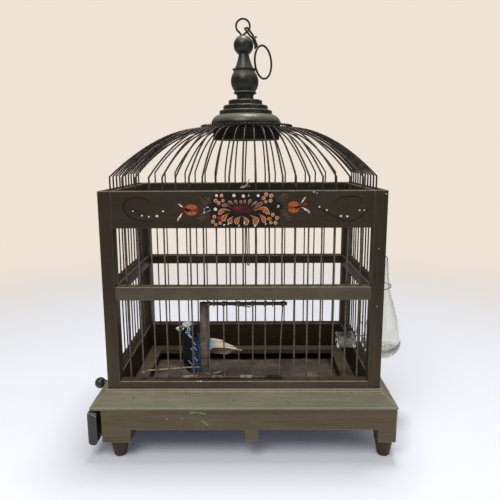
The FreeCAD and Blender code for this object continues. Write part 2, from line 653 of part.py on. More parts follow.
# Tray: a floor with a low rim that slides on the runners, its left end a board with a turned knob.
tray_sizes = {
    "end_board_thick": 9.7, "end_board_out": 20.6, "end_board_low": 16, "end_board_high": 53,
    "end_board_setback": 2.5, "end_board_round": 4.5, "tray_play": 0.3, "tray_floor_thick": 3,
    "tray_side_clearance": 3, "tray_end_clearance": 3.5, "rim_thick": 5, "rim_height": 5.5,
    "liner_thick": 0.8, "liner_margin_left": 36, "liner_margin_right": 33, "liner_margin_side": 25.5,
    "knob_level": 39.3, "knob_reach": 23.9, "knob_ball_radius": 7, "knob_neck_radius": 3.6,
    "knob_flange_radius": 5.5, "knob_flange_thick": 2}
set_sizes("tray", tray_sizes)

end_board_face = f"(-{half_width} - end_board_out)"
end_board_inner = f"({end_board_face} + end_board_thick)"
end_board = sawn("tray_end_body", "XZ", [
    (f"{end_board_face} + end_board_round", "end_board_low", "end_board_round"),
    (f"{end_board_inner} - end_board_round", "end_board_low"),
    (end_board_inner, "end_board_low + end_board_round", "end_board_round"),
    (end_board_inner, "end_board_high"), (end_board_face, "end_board_high"),
    (end_board_face, "end_board_low + end_board_round")], f"2 * ({apron_face} - end_board_setback)")
node(end_board, "tray_end_board")
tray_low = f"({apron_low} + runner_height + tray_play)"
tray_top = f"({tray_low} + tray_floor_thick)"
tray_reach = f"({apron_inside} - tray_side_clearance)"
tray_right = f"({apron_right} - apron_thick - tray_end_clearance)"
node(box("tray_floor_panel", (end_board_inner, tray_right), (f"-{tray_reach}", tray_reach),
         (tray_low, tray_top)), "tray_floor")
rim_levels = (tray_top, f"{tray_top} + rim_height")
rims = [box("rim_front", (end_board_inner, tray_right), (f"-{tray_reach}", f"-{tray_reach} + rim_thick"),
            rim_levels),
        box("rim_rear", (end_board_inner, tray_right), (f"{tray_reach} - rim_thick", tray_reach), rim_levels),
        box("rim_right", (f"{tray_right} - rim_thick", tray_right),
            (f"-{tray_reach} + rim_thick", f"{tray_reach} - rim_thick"), rim_levels)]
node(group("rim_set", rims), "tray_rim")
liner_half_depth = f"({tray_reach} - liner_margin_side)"
node(box("liner_sheet", (f"{end_board_inner} + liner_margin_left", f"{tray_right} - liner_margin_right"),
         (f"-{liner_half_depth}", liner_half_depth), (tray_top, f"{tray_top} + liner_thick")), "tray_liner")

knob_ball_middle = "(knob_reach - knob_ball_radius)"
knob_ball_start = f"({knob_ball_middle} - sqrt(knob_ball_radius ^ 2 - knob_neck_radius ^ 2))"
knob = turned("knob_turning_body", [
    ("0", "0"), ("knob_flange_radius", "0"), ("knob_flange_radius", "knob_flange_thick"),
    ("knob_neck_radius", "knob_flange_thick"), ("knob_neck_radius", knob_ball_start),
    ("0", "knob_reach", "knob_ball_radius")])
turn(knob, (0, 1, 0), -90)
place(knob, end_board_face, "0", "knob_level")
node(knob, "tray_knob")

# Swing perch, stood on end behind the door: a dowel with a wire hanger at each end.
perch_sizes = {
    "dowel_radius": 4.7, "dowel_length": 76.6, "dowel_x": -42.3, "dowel_inset": 15, "dowel_low": 89.8,
    "dowel_chamfer": 0.8, "hanger_radius": 0.7, "low_hanger_rise": 2.6, "low_hanger_run": 64,
    "hook_drop": 1.2, "hook_gap": 0.2, "top_hanger_run": 50, "top_hanger_dip": 4.5}
set_sizes("perch", perch_sizes)

dowel = turned("dowel_rod", [
    ("0", "0"), ("dowel_radius - dowel_chamfer", "0"), ("dowel_radius", "dowel_chamfer"),
    ("dowel_radius", "dowel_length - dowel_chamfer"), ("dowel_radius - dowel_chamfer", "dowel_length"),
    ("0", "dowel_length")])
place(dowel, "dowel_x", f"-{half_depth} + dowel_inset", "dowel_low")
node(dowel, "perch_dowel")

dowel_x = sizes.dowel_x
dowel_y = value(f"-{half_depth} + dowel_inset")
low_level = sizes.dowel_low + sizes.low_hanger_rise
hook_bar = min(bar_places(bars_across), key=lambda x: abs(x - (dowel_x - sizes.low_hanger_run)))
hook_reach = bar_radius + sizes.hanger_radius + sizes.hook_gap
low_hanger = [FreeCAD.Vector(dowel_x - sizes.dowel_radius / 2, dowel_y, low_level),
              FreeCAD.Vector(hook_bar + 3 * hook_reach, -front_line + hook_reach, low_level - sizes.hook_drop / 2),
              FreeCAD.Vector(hook_bar - hook_reach, -front_line + hook_reach, low_level - sizes.hook_drop),
              FreeCAD.Vector(hook_bar - hook_reach, -front_line - hook_reach, low_level - sizes.hook_drop),
              FreeCAD.Vector(hook_bar + hook_reach, -front_line - hook_reach, low_level - sizes.hook_drop)]
dowel_high = sizes.dowel_low + sizes.dowel_length
top_level = dowel_high + sizes.hanger_radius
top_y = bar_line.y + sizes.door_bar_radius + sizes.staple_gap + 2 * sizes.staple_radius + 2 * sizes.hanger_radius
top_hanger = [FreeCAD.Vector(dowel_x, dowel_y, dowel_high - 2 * sizes.hanger_radius),
              FreeCAD.Vector(dowel_x, dowel_y, top_level),
              FreeCAD.Vector(dowel_x + sizes.dowel_radius, top_y, top_level),
              FreeCAD.Vector(dowel_x + sizes.top_hanger_run, top_y, top_level - sizes.top_hanger_dip)]
hangers = Part.makeCompound([wire_rod(run, sizes.hanger_radius) for run in (low_hanger, top_hanger)])
node(cut("hangers_trimmed", shaped("hanger_wires", hangers), dowel), "perch_hangers")

# Feathered bird on the perch: body, head, wings and tail, held to the dowel by two wire claws.
bird_sizes = {
    "body_x": -53, "body_inset": 35.5, "body_z": 109.5, "body_half_length": 26, "body_half_width": 13.5,
    "body_tilt": 52, "head_x": -62.5, "head_z": 128, "head_radius": 9.3, "beak_length": 9,
    "beak_radius": 2.6, "beak_drop": 1, "wing_half_length": 20, "wing_half_height": 9.5, "wing_half_thick": 2.6,
    "wing_x": -45, "wing_z": 108, "wing_tilt": 30, "wing_spread": 11.6,
    "tail_x": -32, "tail_tip_x": -2, "tail_z": 106, "tail_tip_z": 102.6, "tail_root_width": 15,
    "tail_tip_width": 6, "tail_thick": 3.2, "tail_root_inside": 10, "tail_slope": 0.125,
    "claw_radius": 0.7, "claw_gap": 0.15, "claw_spacing": 9, "claw_level": 96}
set_sizes("bird", bird_sizes)


def feathered(name, half_length, half_height, half_width, x, y, z, tilt):
    """An egg-like form, its long axis first upright and then tipped about Y."""
    long, high, wide = value(half_length), value(half_height), value(half_width)
    steps = math.ceil(math.pi / 2 / math.acos(1 - sizes.arc_flatness / long))
    points = [(high * math.sin(math.pi * step / steps), -long * math.cos(math.pi * step / steps))
              for step in range(1, steps)]
    form = shaped(name, revolved([(0, -long)] + points + [(0, long)], wide / high))
    turn(form, (0, 1, 0), tilt)
    place(form, x, y, z)
    return form


body_y = f"(-{half_depth} + body_inset)"
bird_body = feathered("body_form", "body_half_length", "body_half_width", "body_half_width",
                      "body_x", body_y, "body_z", sizes.body_tilt - 90)
node(bird_body, "bird_body")
skull = feathered("skull", "head_radius", "head_radius", "head_radius", "head_x", body_y, "head_z", 0)
beak = turned("beak", [("0", "0"), ("beak_radius", "0"), ("beak_radius / 4", "beak_length"), ("0", "beak_length")])
turn(beak, (0, 1, 0), -90)
place(beak, "head_x - head_radius + beak_length / 4", body_y, "head_z - beak_drop")
node(cut("head_form", joined("head_with_beak", [skull, beak]), bird_body), "bird_head")
wings = []
for name, sign in (("left", "-"), ("right", "+")):
    wings.append(feathered("wing_form_" + name, "wing_half_length", "wing_half_height", "wing_half_thick",
                           "wing_x", f"{body_y} {sign} wing_spread", "wing_z", sizes.wing_tilt - 90))
wing_pair = joined("wing_pair", wings)
body_and_head = joined("body_and_head", [bird_body, skull])
node(cut("wings_trimmed", wing_pair, body_and_head), "bird_wings")

tail_root = spot("tail_x - tail_root_inside", body_y, "tail_z + tail_root_inside * tail_slope")
tail_tip = spot("tail_tip_x", body_y, "tail_tip_z")
tail_rings = []
for centre, width in ((tail_root, sizes.tail_root_width), (tail_tip, sizes.tail_tip_width)):
    half, thick = width / 2, sizes.tail_thick / 2
    rim = [FreeCAD.Vector(0, -half, -thick), FreeCAD.Vector(0, -half, thick), FreeCAD.Vector(0, half, thick),
           FreeCAD.Vector(0, half, -thick)]
    tail_rings.append([centre + corner for corner in rim])
tail_form = shaped("tail_form", skin(tail_rings, closed=False))
tail_clear = cut("tail_clear_of_wings", cut("tail_clear_of_body", tail_form, bird_body), wing_pair)
node(tail_clear, "bird_tail")

claws = []
claw_reach = sizes.dowel_radius + sizes.claw_radius + sizes.claw_gap
for index in range(2):
    level = sizes.claw_level + index * sizes.claw_spacing
    curl = wire_hoop(FreeCAD.Vector(dowel_x, dowel_y, level), (0, 0, 1), claw_reach, sizes.claw_radius)
    leg = wire_rod([FreeCAD.Vector(dowel_x, dowel_y + claw_reach, level),
                    spot("body_x", body_y, "body_z")], sizes.claw_radius)
    claws.append(curl.fuse(leg))
claw_wires = shaped("claw_wires", Part.makeCompound(claws))
plumage = joined("plumage", [bird_body, skull, wing_pair])
node(cut("claws_trimmed", claw_wires, plumage), "bird_claws")

# Glass drinker outside the right-hand bars: a closed bulb whose neck feeds a small cup inside.
drinker_sizes = {
    "bulb_clearance": 5.2, "bulb_y": -6.7, "bulb_radius": 22.5, "bulb_belly": 17, "bulb_wall": 1.6,
    "bulb_mid_radius": 16.4, "bulb_mid_rise": 50.4, "bulb_neck_radius": 7.2, "bulb_neck_rise": 83.4,
    "bulb_tip_radius": 3.4, "bulb_tip_rise": 119.4, "bulb_height": 123.4, "bulb_floor": 5,
    "bulb_foot_share": 0.55, "belly_round_share": 1.15, "hollow_foot_share": 0.5,
    "spout_radius": 4.8, "spout_bore_radius": 3.3, "spout_over_cup_foot": 8.7, "spout_over_bulb_foot": 19.7,
    "cup_inset": 10, "cup_width": 25, "cup_half_depth": 10, "cup_height": 18,
    "cup_over_board": 0.5, "cup_over_moulding": 13,
    "cup_wall": 1.8, "cup_floor": 4, "spout_seat_clearance": 0.1, "wire_tie_radius": 0.7,
    "cup_tie_rise": 14, "bulb_tie_rise": 83.7, "tie_gap": 0.6, "rim_gap": 0.3}
set_sizes("drinker", drinker_sizes)

bulb_x = f"({half_width} - side_rail_thick / 2 + bar_thick / 2 + bulb_clearance + bulb_radius)"
cup_seat = "max(lower_board_height + cup_over_board; moulding_height + cup_over_moulding)"
cup_low = f"({frame_low} + {cup_seat})"
cup_high = f"({cup_low} + cup_height)"
cup_right = f"({half_width} - cup_inset)"
cup_left = f"({cup_right} - cup_width)"
spout_level = f"({cup_low} + spout_over_cup_foot)"
bulb_low = f"({spout_level} - spout_over_bulb_foot)"
bulb = turned("bulb_turning_body", [
    ("0", "0"), ("bulb_radius * bulb_foot_share", "0"),
    ("bulb_radius", "bulb_belly", "bulb_belly * belly_round_share"),
    ("bulb_mid_radius", "bulb_mid_rise", "bulb_height"),
    ("bulb_neck_radius", "bulb_neck_rise"), ("bulb_tip_radius", "bulb_tip_rise"), ("0", "bulb_height")])
place(bulb, bulb_x, "bulb_y", bulb_low)
hollow = turned("bulb_hollow_body", [
    ("0", "bulb_floor"), ("bulb_radius * hollow_foot_share - bulb_wall", "bulb_floor"),
    ("bulb_radius - bulb_wall", "bulb_belly + bulb_wall", "bulb_belly"),
    ("bulb_mid_radius - bulb_wall", "bulb_mid_rise", "bulb_height"),
    ("bulb_neck_radius - bulb_wall", "bulb_neck_rise"),
    ("bulb_tip_radius - bulb_wall", "bulb_tip_rise - bulb_wall"), ("0", "bulb_tip_rise - bulb_wall")])
place(hollow, bulb_x, "bulb_y", bulb_low)
spout_ends = [spot(f"{cup_right} - cup_wall", "bulb_y", spout_level), spot(bulb_x, "bulb_y", spout_level)]
spout = shaped("spout", wire_rod(spout_ends, sizes.spout_radius, 12))
spout_bore = shaped("spout_bore", wire_rod(spout_ends, sizes.spout_bore_radius, 12))
glass = cut("bulb_blown", joined("bulb_and_spout", [bulb, spout]), joined("bulb_space", [hollow, spout_bore]))
node(glass, "drinker_bulb")

cup_y = ("bulb_y - cup_half_depth", "bulb_y + cup_half_depth")
cup_block = box("cup_block", (cup_left, cup_right), cup_y, (cup_low, cup_high))
cup_space = box("cup_space", (f"{cup_left} + cup_wall", f"{cup_right} - cup_wall"),
                ("bulb_y - cup_half_depth + cup_wall", "bulb_y + cup_half_depth - cup_wall"),
                (f"{cup_low} + cup_floor", cup_high))
hole_ends = [spot(f"{cup_right} - 2 * cup_wall", "bulb_y", spout_level),
             spot(f"{cup_right} + cup_wall", "bulb_y", spout_level)]
cup_hole = shaped("cup_hole", wire_rod(hole_ends, sizes.spout_radius + sizes.spout_seat_clearance, 12))
node(cut("cup_pressed", cup_block, joined("cup_openings", [cup_space, cup_hole])), "drinker_cup")

side_bar_places = bar_places(bars_deep)
near_bar = max(y for y in side_bar_places if y < sizes.bulb_y)
far_bar = min(y for y in side_bar_places if y >= sizes.bulb_y)
tie_share = (sizes.bulb_tie_rise - sizes.bulb_mid_rise) / (sizes.bulb_neck_rise - sizes.bulb_mid_rise)
tie_bulb_radius = sizes.bulb_mid_radius + (sizes.bulb_neck_radius - sizes.bulb_mid_radius) * tie_share
tie_radius = tie_bulb_radius + sizes.wire_tie_radius + sizes.tie_gap
tie_hold = bar_radius + sizes.wire_tie_radius + sizes.rim_gap / 2
tie_centre = spot(bulb_x, "bulb_y", f"{bulb_low} + bulb_tie_rise")
tie_points = [FreeCAD.Vector(side_line - tie_hold, near_bar + tie_hold / 2, tie_centre.z),
              FreeCAD.Vector(side_line - tie_hold, near_bar - tie_hold, tie_centre.z),
              FreeCAD.Vector(side_line + tie_hold, near_bar - tie_hold, tie_centre.z)]
for degrees in (-110, -70, -35, 0, 35, 70, 110):
    angle = math.radians(degrees)
    tie_points.append(tie_centre + FreeCAD.Vector(math.cos(angle), math.sin(angle), 0) * tie_radius)
tie_points += [FreeCAD.Vector(side_line + tie_hold, far_bar + tie_hold, tie_centre.z),
               FreeCAD.Vector(side_line - tie_hold, far_bar + tie_hold, tie_centre.z),
               FreeCAD.Vector(side_line - tie_hold, far_bar - tie_hold / 2, tie_centre.z)]
rim_hold = sizes.wire_tie_radius + sizes.rim_gap
cup_rim = spot(cup_right, "bulb_y", cup_high)
cup_inner = cup_rim.x - sizes.cup_wall - rim_hold
cup_tie_level = cup_rim.z + sizes.cup_tie_rise
cup_tie_points = [FreeCAD.Vector(cup_inner, cup_rim.y, cup_rim.z - 2 * rim_hold),
                  FreeCAD.Vector(cup_inner, cup_rim.y, cup_rim.z + rim_hold),
                  FreeCAD.Vector(cup_rim.x + rim_hold, cup_rim.y, cup_rim.z + rim_hold),
                  FreeCAD.Vector(side_line - tie_hold, near_bar + tie_hold, cup_tie_level),
                  FreeCAD.Vector(side_line + tie_hold, near_bar + tie_hold, cup_tie_level),
                  FreeCAD.Vector(side_line + tie_hold, near_bar - tie_hold, cup_tie_level)]
ties = [wire_rod(run, sizes.wire_tie_radius) for run in (tie_points, cup_tie_points)]
node(shaped("tie_wires", Part.makeCompound(ties)), "drinker_ties")

# Treat hook: a hairpin of thin wire that swings behind the top board from a pin tied to the middle wire.
treat_hook_sizes = {
    "treat_wire_radius": 0.6, "treat_pin_rise": 3.6, "treat_pin_offset": 2.3, "treat_pin_length": 8.4,
    "treat_pin_x": -0.6, "treat_gap": 0.3, "treat_length": 82, "treat_leg_left": 2.9, "treat_leg_right": 5.9,
    "treat_bottom_half": 0.9, "treat_bottom_x": 5.4, "treat_wrap_radius": 1.6, "treat_hold": 1.8}
set_sizes("treat_hook", treat_hook_sizes)

pin_level = dome_base + sizes.treat_pin_rise
pin_y = -front_line + sizes.treat_pin_offset
tie_wrap = wire_hoop(FreeCAD.Vector(0, -front_line, pin_level), (0, 0, 1), sizes.treat_wrap_radius,
                     sizes.treat_wire_radius, sizes.link_corners)
pin = wire_rod([FreeCAD.Vector(sizes.treat_pin_x, pin_y, pin_level),
                FreeCAD.Vector(sizes.treat_pin_x + sizes.treat_pin_length, pin_y, pin_level)],
               sizes.treat_wire_radius)
node(shaped("treat_tie_wire", tie_wrap.fuse(pin)), "treat_hook_tie")
hook_hold = sizes.treat_hold
leg_y = -front_line + sizes.front_rail_thick / 2 + sizes.treat_wire_radius + sizes.treat_gap
leg_high = pin_level - hook_hold / 2
leg_low = pin_level - sizes.treat_length


def treat_leg(x, order):
    """One leg's upper end, hooked over the pin."""
    points = [FreeCAD.Vector(x, pin_y - hook_hold, pin_level), FreeCAD.Vector(x, pin_y, pin_level + hook_hold),
              FreeCAD.Vector(x, pin_y + hook_hold, pin_level + hook_hold / 2), FreeCAD.Vector(x, leg_y, leg_high)]
    return points[::order]


bottom = [FreeCAD.Vector(sizes.treat_bottom_x + sign * sizes.treat_bottom_half, leg_y, leg_low) for sign in (-1, 1)]
treat_points = treat_leg(sizes.treat_leg_left, 1) + bottom + treat_leg(sizes.treat_leg_right, -1)
node(shaped("treat_hook_wire", wire_rod(treat_points, sizes.treat_wire_radius)), "treat_hook")

doc.recompute()

failed = [item.Name for item in doc.Objects if {"Invalid", "Error"} & set(item.State)]
failed += [item.Label for item in nodes if item.Shape.isNull() or not item.Shape.isValid()]
if failed:
    raise RuntimeError("not built: " + ", ".join(failed))
os.makedirs("parts", exist_ok=True)
for item in nodes:
    item.Shape.exportStep(os.path.join("parts", item.Label + ".step"))
print(len(nodes), "nodes,", sum(len(item.Shape.Solids) for item in nodes), "solids")
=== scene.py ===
import math
import random

import bmesh
import bpy
from mathutils import Matrix, Vector


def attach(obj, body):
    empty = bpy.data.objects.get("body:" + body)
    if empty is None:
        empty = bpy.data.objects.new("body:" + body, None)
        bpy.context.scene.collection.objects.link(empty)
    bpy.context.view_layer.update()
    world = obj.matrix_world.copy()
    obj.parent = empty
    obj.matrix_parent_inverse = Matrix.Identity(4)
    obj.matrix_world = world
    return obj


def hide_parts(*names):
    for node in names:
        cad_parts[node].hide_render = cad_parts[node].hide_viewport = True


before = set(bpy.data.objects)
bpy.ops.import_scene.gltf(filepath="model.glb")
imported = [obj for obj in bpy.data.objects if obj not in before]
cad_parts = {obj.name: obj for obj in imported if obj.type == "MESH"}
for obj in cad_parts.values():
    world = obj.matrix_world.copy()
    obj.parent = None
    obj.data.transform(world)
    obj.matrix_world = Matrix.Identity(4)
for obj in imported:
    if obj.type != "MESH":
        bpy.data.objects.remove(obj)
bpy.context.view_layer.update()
scene = bpy.context.scene
scene.view_settings.view_transform = "Standard"
MM = 0.001

# Camera. It stands in front of the cage, a little above its middle, and looks slightly down,
# as for a picture taken by hand across a table.
camera_place = Vector((10.47, -594.91, 316.4)) * MM
camera_yaw, camera_pitch, camera_roll = (math.radians(turn) for turn in (-0.37, 10.25, -0.24))
focal_pixels, frame_pixels, sensor_mm = 504.3, 500, 36

ahead = Vector((math.sin(camera_yaw) * math.cos(camera_pitch),
                math.cos(camera_yaw) * math.cos(camera_pitch), -math.sin(camera_pitch)))
level_right = Vector((math.cos(camera_yaw), -math.sin(camera_yaw), 0))
level_up = level_right.cross(ahead)
camera_right = level_right * math.cos(camera_roll) + level_up * math.sin(camera_roll)
camera_up = level_up * math.cos(camera_roll) - level_right * math.sin(camera_roll)
camera = bpy.data.objects.new("camera", bpy.data.cameras.new("camera"))
scene.collection.objects.link(camera)
camera.matrix_world = (Matrix.Translation(camera_place)
                       @ Matrix((camera_right, camera_up, -ahead)).transposed().to_4x4())
camera.data.sensor_width = sensor_mm
camera.data.lens = focal_pixels / frame_pixels * sensor_mm
camera.data.clip_start, camera.data.clip_end = 0.01, 20
scene.camera = camera

# Studio. A pale table under a large soft lamp from the upper left and a weaker one from the right,
# with an even pale surround that the glass and the wires also see.


def linear(hex_colour, alpha=1.0):
    """The linear colour of an sRGB hex value."""
    channels = [int(hex_colour[place:place + 2], 16) / 255 for place in (1, 3, 5)]
    return tuple(c / 12.92 if c <= 0.04045 else ((c + 0.055) / 1.055) ** 2.4
                 for c in channels) + (alpha,)


def add(tree, kind, inputs=None, stops=None, **settings):
    """Adds a node with its settings; an input is a value, a hex colour or another node's output."""
    made = tree.nodes.new(kind)
    for name, setting in settings.items():
        setattr(made, name, setting)
    for name, source in (inputs or {}).items():
        if isinstance(source, bpy.types.NodeSocket):
            tree.links.new(source, made.inputs[name])
        else:
            is_colour = str(source).startswith("#")
            made.inputs[name].default_value = linear(source) if is_colour else source
    if stops:
        while len(made.color_ramp.elements) < len(stops):
            made.color_ramp.elements.new(1)
        for element, (position, colour) in zip(made.color_ramp.elements, stops):
            element.position = position
            element.color = linear(colour)
    return made


def new_material(name):
    """An empty material, its node tree and the places on the piece that it covers, in metres."""
    made = bpy.data.materials.new(name)
    made.use_nodes = True
    made.node_tree.nodes.clear()
    return made, made.node_tree, add(made.node_tree, "ShaderNodeTexCoord").outputs["Object"]


def noise(tree, place, scale, detail=2, roughness=0.5):
    """Soft mottling over the places; scale counts its waves in a metre."""
    return add(tree, "ShaderNodeTexNoise", {"Vector": place, "Scale": scale, "Detail": detail,
                                            "Roughness": roughness}).outputs[0]


def ramp(tree, value, *stops):
    """Colours that follow a value, from stops of (value, hex colour)."""
    return add(tree, "ShaderNodeValToRGB", {"Fac": value}, stops=stops).outputs[0]


def ranged(tree, value, low, high, to_low=0, to_high=1):
    """Takes a value from between low and high to between two others, and no further."""
    return add(tree, "ShaderNodeMapRange", {0: value, 1: low, 2: high, 3: to_low,
                                            4: to_high}).outputs[0]


def reckon(tree, operation, first, second=0.5, use_clamp=False):
    """One sum on one or two values."""
    return add(tree, "ShaderNodeMath", {0: first, 1: second}, operation=operation,
               use_clamp=use_clamp).outputs[0]


def blend(tree, share, first, second):
    """A mix of two colours; a share of 1 is all the second."""
    return add(tree, "ShaderNodeMix", {0: share, 6: first, 7: second}, data_type="RGBA").outputs[2]


def part(tree, vector, axis):
    """One coordinate of a vector."""
    return add(tree, "ShaderNodeSeparateXYZ", {0: vector}).outputs[axis]


def relief(tree, height, strength, depth):
    """Fine unevenness of the surface, its depth in millimetres."""
    return add(tree, "ShaderNodeBump", {"Height": height, "Strength": strength,
                                        "Distance": depth * MM}).outputs[0]


def coated(material, colour, roughness, normal=None, gloss=0.5, others=None):
    """Ends a material's nodes in its surface."""
    inputs = {"Base Color": colour, "Roughness": roughness, "Specular IOR Level": gloss,
              **(others or {})}
    if normal is not None:
        inputs["Normal"] = normal
    finish = add(material.node_tree, "ShaderNodeBsdfPrincipled", inputs)
    add(material.node_tree, "ShaderNodeOutputMaterial", {"Surface": finish.outputs[0]})
    return material


table_size, table_level, backdrop_colour = 6.0, -0.0003, "#eee3d6"
floor_mesh = bpy.data.meshes.new("table_top")
floor_corners = [(x * table_size, y * table_size, table_level) for x,
                 y in ((-1, -1), (1, -1), (1, 1), (-1, 1))]
floor_mesh.from_pydata(floor_corners, [], [(0, 1, 2, 3)])
table_top = bpy.data.objects.new("table_top", floor_mesh)
scene.collection.objects.link(table_top)
pale_laminate, tree, place = new_material("pale laminate")
ray = add(tree, "ShaderNodeLightPath")
distance = add(tree, "ShaderNodeVectorMath", {0: place}, operation="LENGTH").outputs["Value"]
finish = add(tree, "ShaderNodeBsdfPrincipled", {"Base Color": "#f3f6fd", "Roughness": 0.6})
lifted = add(tree, "ShaderNodeEmission", {"Color": "#6f7ec8", "Strength": 0.06})
both = add(tree, "ShaderNodeAddShader", {0: finish.outputs[0], 1: lifted.outputs[0]})
distant = add(tree, "ShaderNodeEmission", {"Color": backdrop_colour, "Strength": 1.0})
faded = add(tree, "ShaderNodeMapRange", {0: distance, 1: 0.36, 2: 1.2, 3: 0, 4: 1},
            interpolation_type="SMOOTHSTEP")
swept = add(tree, "ShaderNodeMixShader", {0: faded.outputs[0], 1: both.outputs[0],
                                          2: distant.outputs[0]})
shown = add(tree, "ShaderNodeMixShader", {0: ray.outputs["Is Camera Ray"], 1: finish.outputs[0],
                                          2: swept.outputs[0]})
add(tree, "ShaderNodeOutputMaterial", {"Surface": shown.outputs[0]})
floor_mesh.materials.append(pale_laminate)

world = bpy.data.worlds.new("studio")
scene.world = world
world.use_nodes = True
tree = world.node_tree
tree.nodes.clear()
ray = add(tree, "ShaderNodeLightPath")
seen = reckon(tree, "MAXIMUM", ray.outputs["Is Camera Ray"], ray.outputs["Is Transmission Ray"])
surround = add(tree, "ShaderNodeBackground", {"Color": "#f6efe4", "Strength": 0.3})
backdrop = add(tree, "ShaderNodeBackground", {"Color": backdrop_colour, "Strength": 1.0})
mixed = add(tree, "ShaderNodeMixShader", {0: seen, 1: surround.outputs[0], 2: backdrop.outputs[0]})
add(tree, "ShaderNodeOutputWorld", {"Surface": mixed.outputs[0]})

for lamp_name, place, watts, size in (("key", (-0.35, -1.05, 1.5), 15, 0.9),
                                      ("fill", (1.1, -1.0, 0.7), 3, 1.2),
                                      ("overhead", (0.1, 0.15, 1.75), 15, 0.45)):
    lamp = bpy.data.objects.new(lamp_name, bpy.data.lights.new(lamp_name, "AREA"))
    lamp.data.energy = watts
    lamp.data.size = size
    lamp.location = place
    aim = Vector((0, 0, 0.2)) - Vector(place)
    lamp.rotation_euler = aim.to_track_quat("-Z", "Y").to_euler()
    scene.collection.objects.link(lamp)

# Frame and base boards. Softwood boards with eased edges, brushed with thin dark olive-brown paint
# that has rubbed through along the edges, with a painted highlight on the edges that face up and
# painted light from the table low on the posts; the base is a shade greener and more worn.


def finished(name, mesh, material, body, replaces=(), smooth=None):
    """Puts a mesh in the scene as a piece that rides on a body and stands for some of the frame's
    nodes."""
    piece = bpy.data.objects.new(name, mesh)
    scene.collection.objects.link(piece)
    mesh.materials.clear()
    mesh.materials.append(material)
    if smooth is not None:
        mesh.shade_smooth()
        mesh.set_sharp_from_angle(angle=math.radians(smooth))
    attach(piece, body)
    if replaces:
        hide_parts(*replaces)
    return piece


def outward(mesh):
    """Makes every face of a closed mesh point outwards."""
    edit = bmesh.new()
    edit.from_mesh(mesh)
    bmesh.ops.recalc_face_normals(edit, faces=edit.faces)
    edit.to_mesh(mesh)
    edit.free()
    return mesh


def shell(name, vertices, faces):
    """A closed mesh from its vertices and faces, all facing outwards."""
    mesh = bpy.data.meshes.new(name)
    mesh.from_pydata(vertices, [], faces)
    return outward(mesh)


def joined_mesh(name, meshes):
    """Several meshes as one."""
    edit = bmesh.new()
    for mesh in meshes:
        edit.from_mesh(mesh)
    made = bpy.data.meshes.new(name)
    edit.to_mesh(made)
    edit.free()
    for mesh in meshes:
        bpy.data.meshes.remove(mesh)
    return made


def eased_board(node, ease, flush_above=1.0):
    """A copy of a sawn board whose edges are rounded over; the arris attribute marks them for the
    paint. Edges above a level, where another piece lies flush with it, stay sharp."""
    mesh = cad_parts[node].data.copy()
    mesh.name = node + "_eased"
    edit = bmesh.new()
    edit.from_mesh(mesh)
    bmesh.ops.remove_doubles(edit, verts=edit.verts, dist=0.01 * MM)
    bmesh.ops.dissolve_limit(edit, angle_limit=math.radians(2), verts=edit.verts, edges=edit.edges)
    sharp = [edge for edge in edit.edges if len(edge.link_faces) == 2
             and edge.calc_face_angle() > math.radians(25)
             and min(vertex.co.z for vertex in edge.verts) < flush_above]
    eased = set(bmesh.ops.bevel(edit, geom=sharp, offset=ease, segments=3, profile=0.5,
                                affect="EDGES")["faces"])
    arris = edit.verts.layers.float.new("arris")
    for vertex in edit.verts:
        vertex[arris] = 1.0 if all(face in eased for face in vertex.link_faces) else 0.0
    bmesh.ops.triangulate(edit, faces=[face for face in edit.faces if len(face.verts) > 4])
    edit.to_mesh(mesh)
    edit.free()
    return mesh


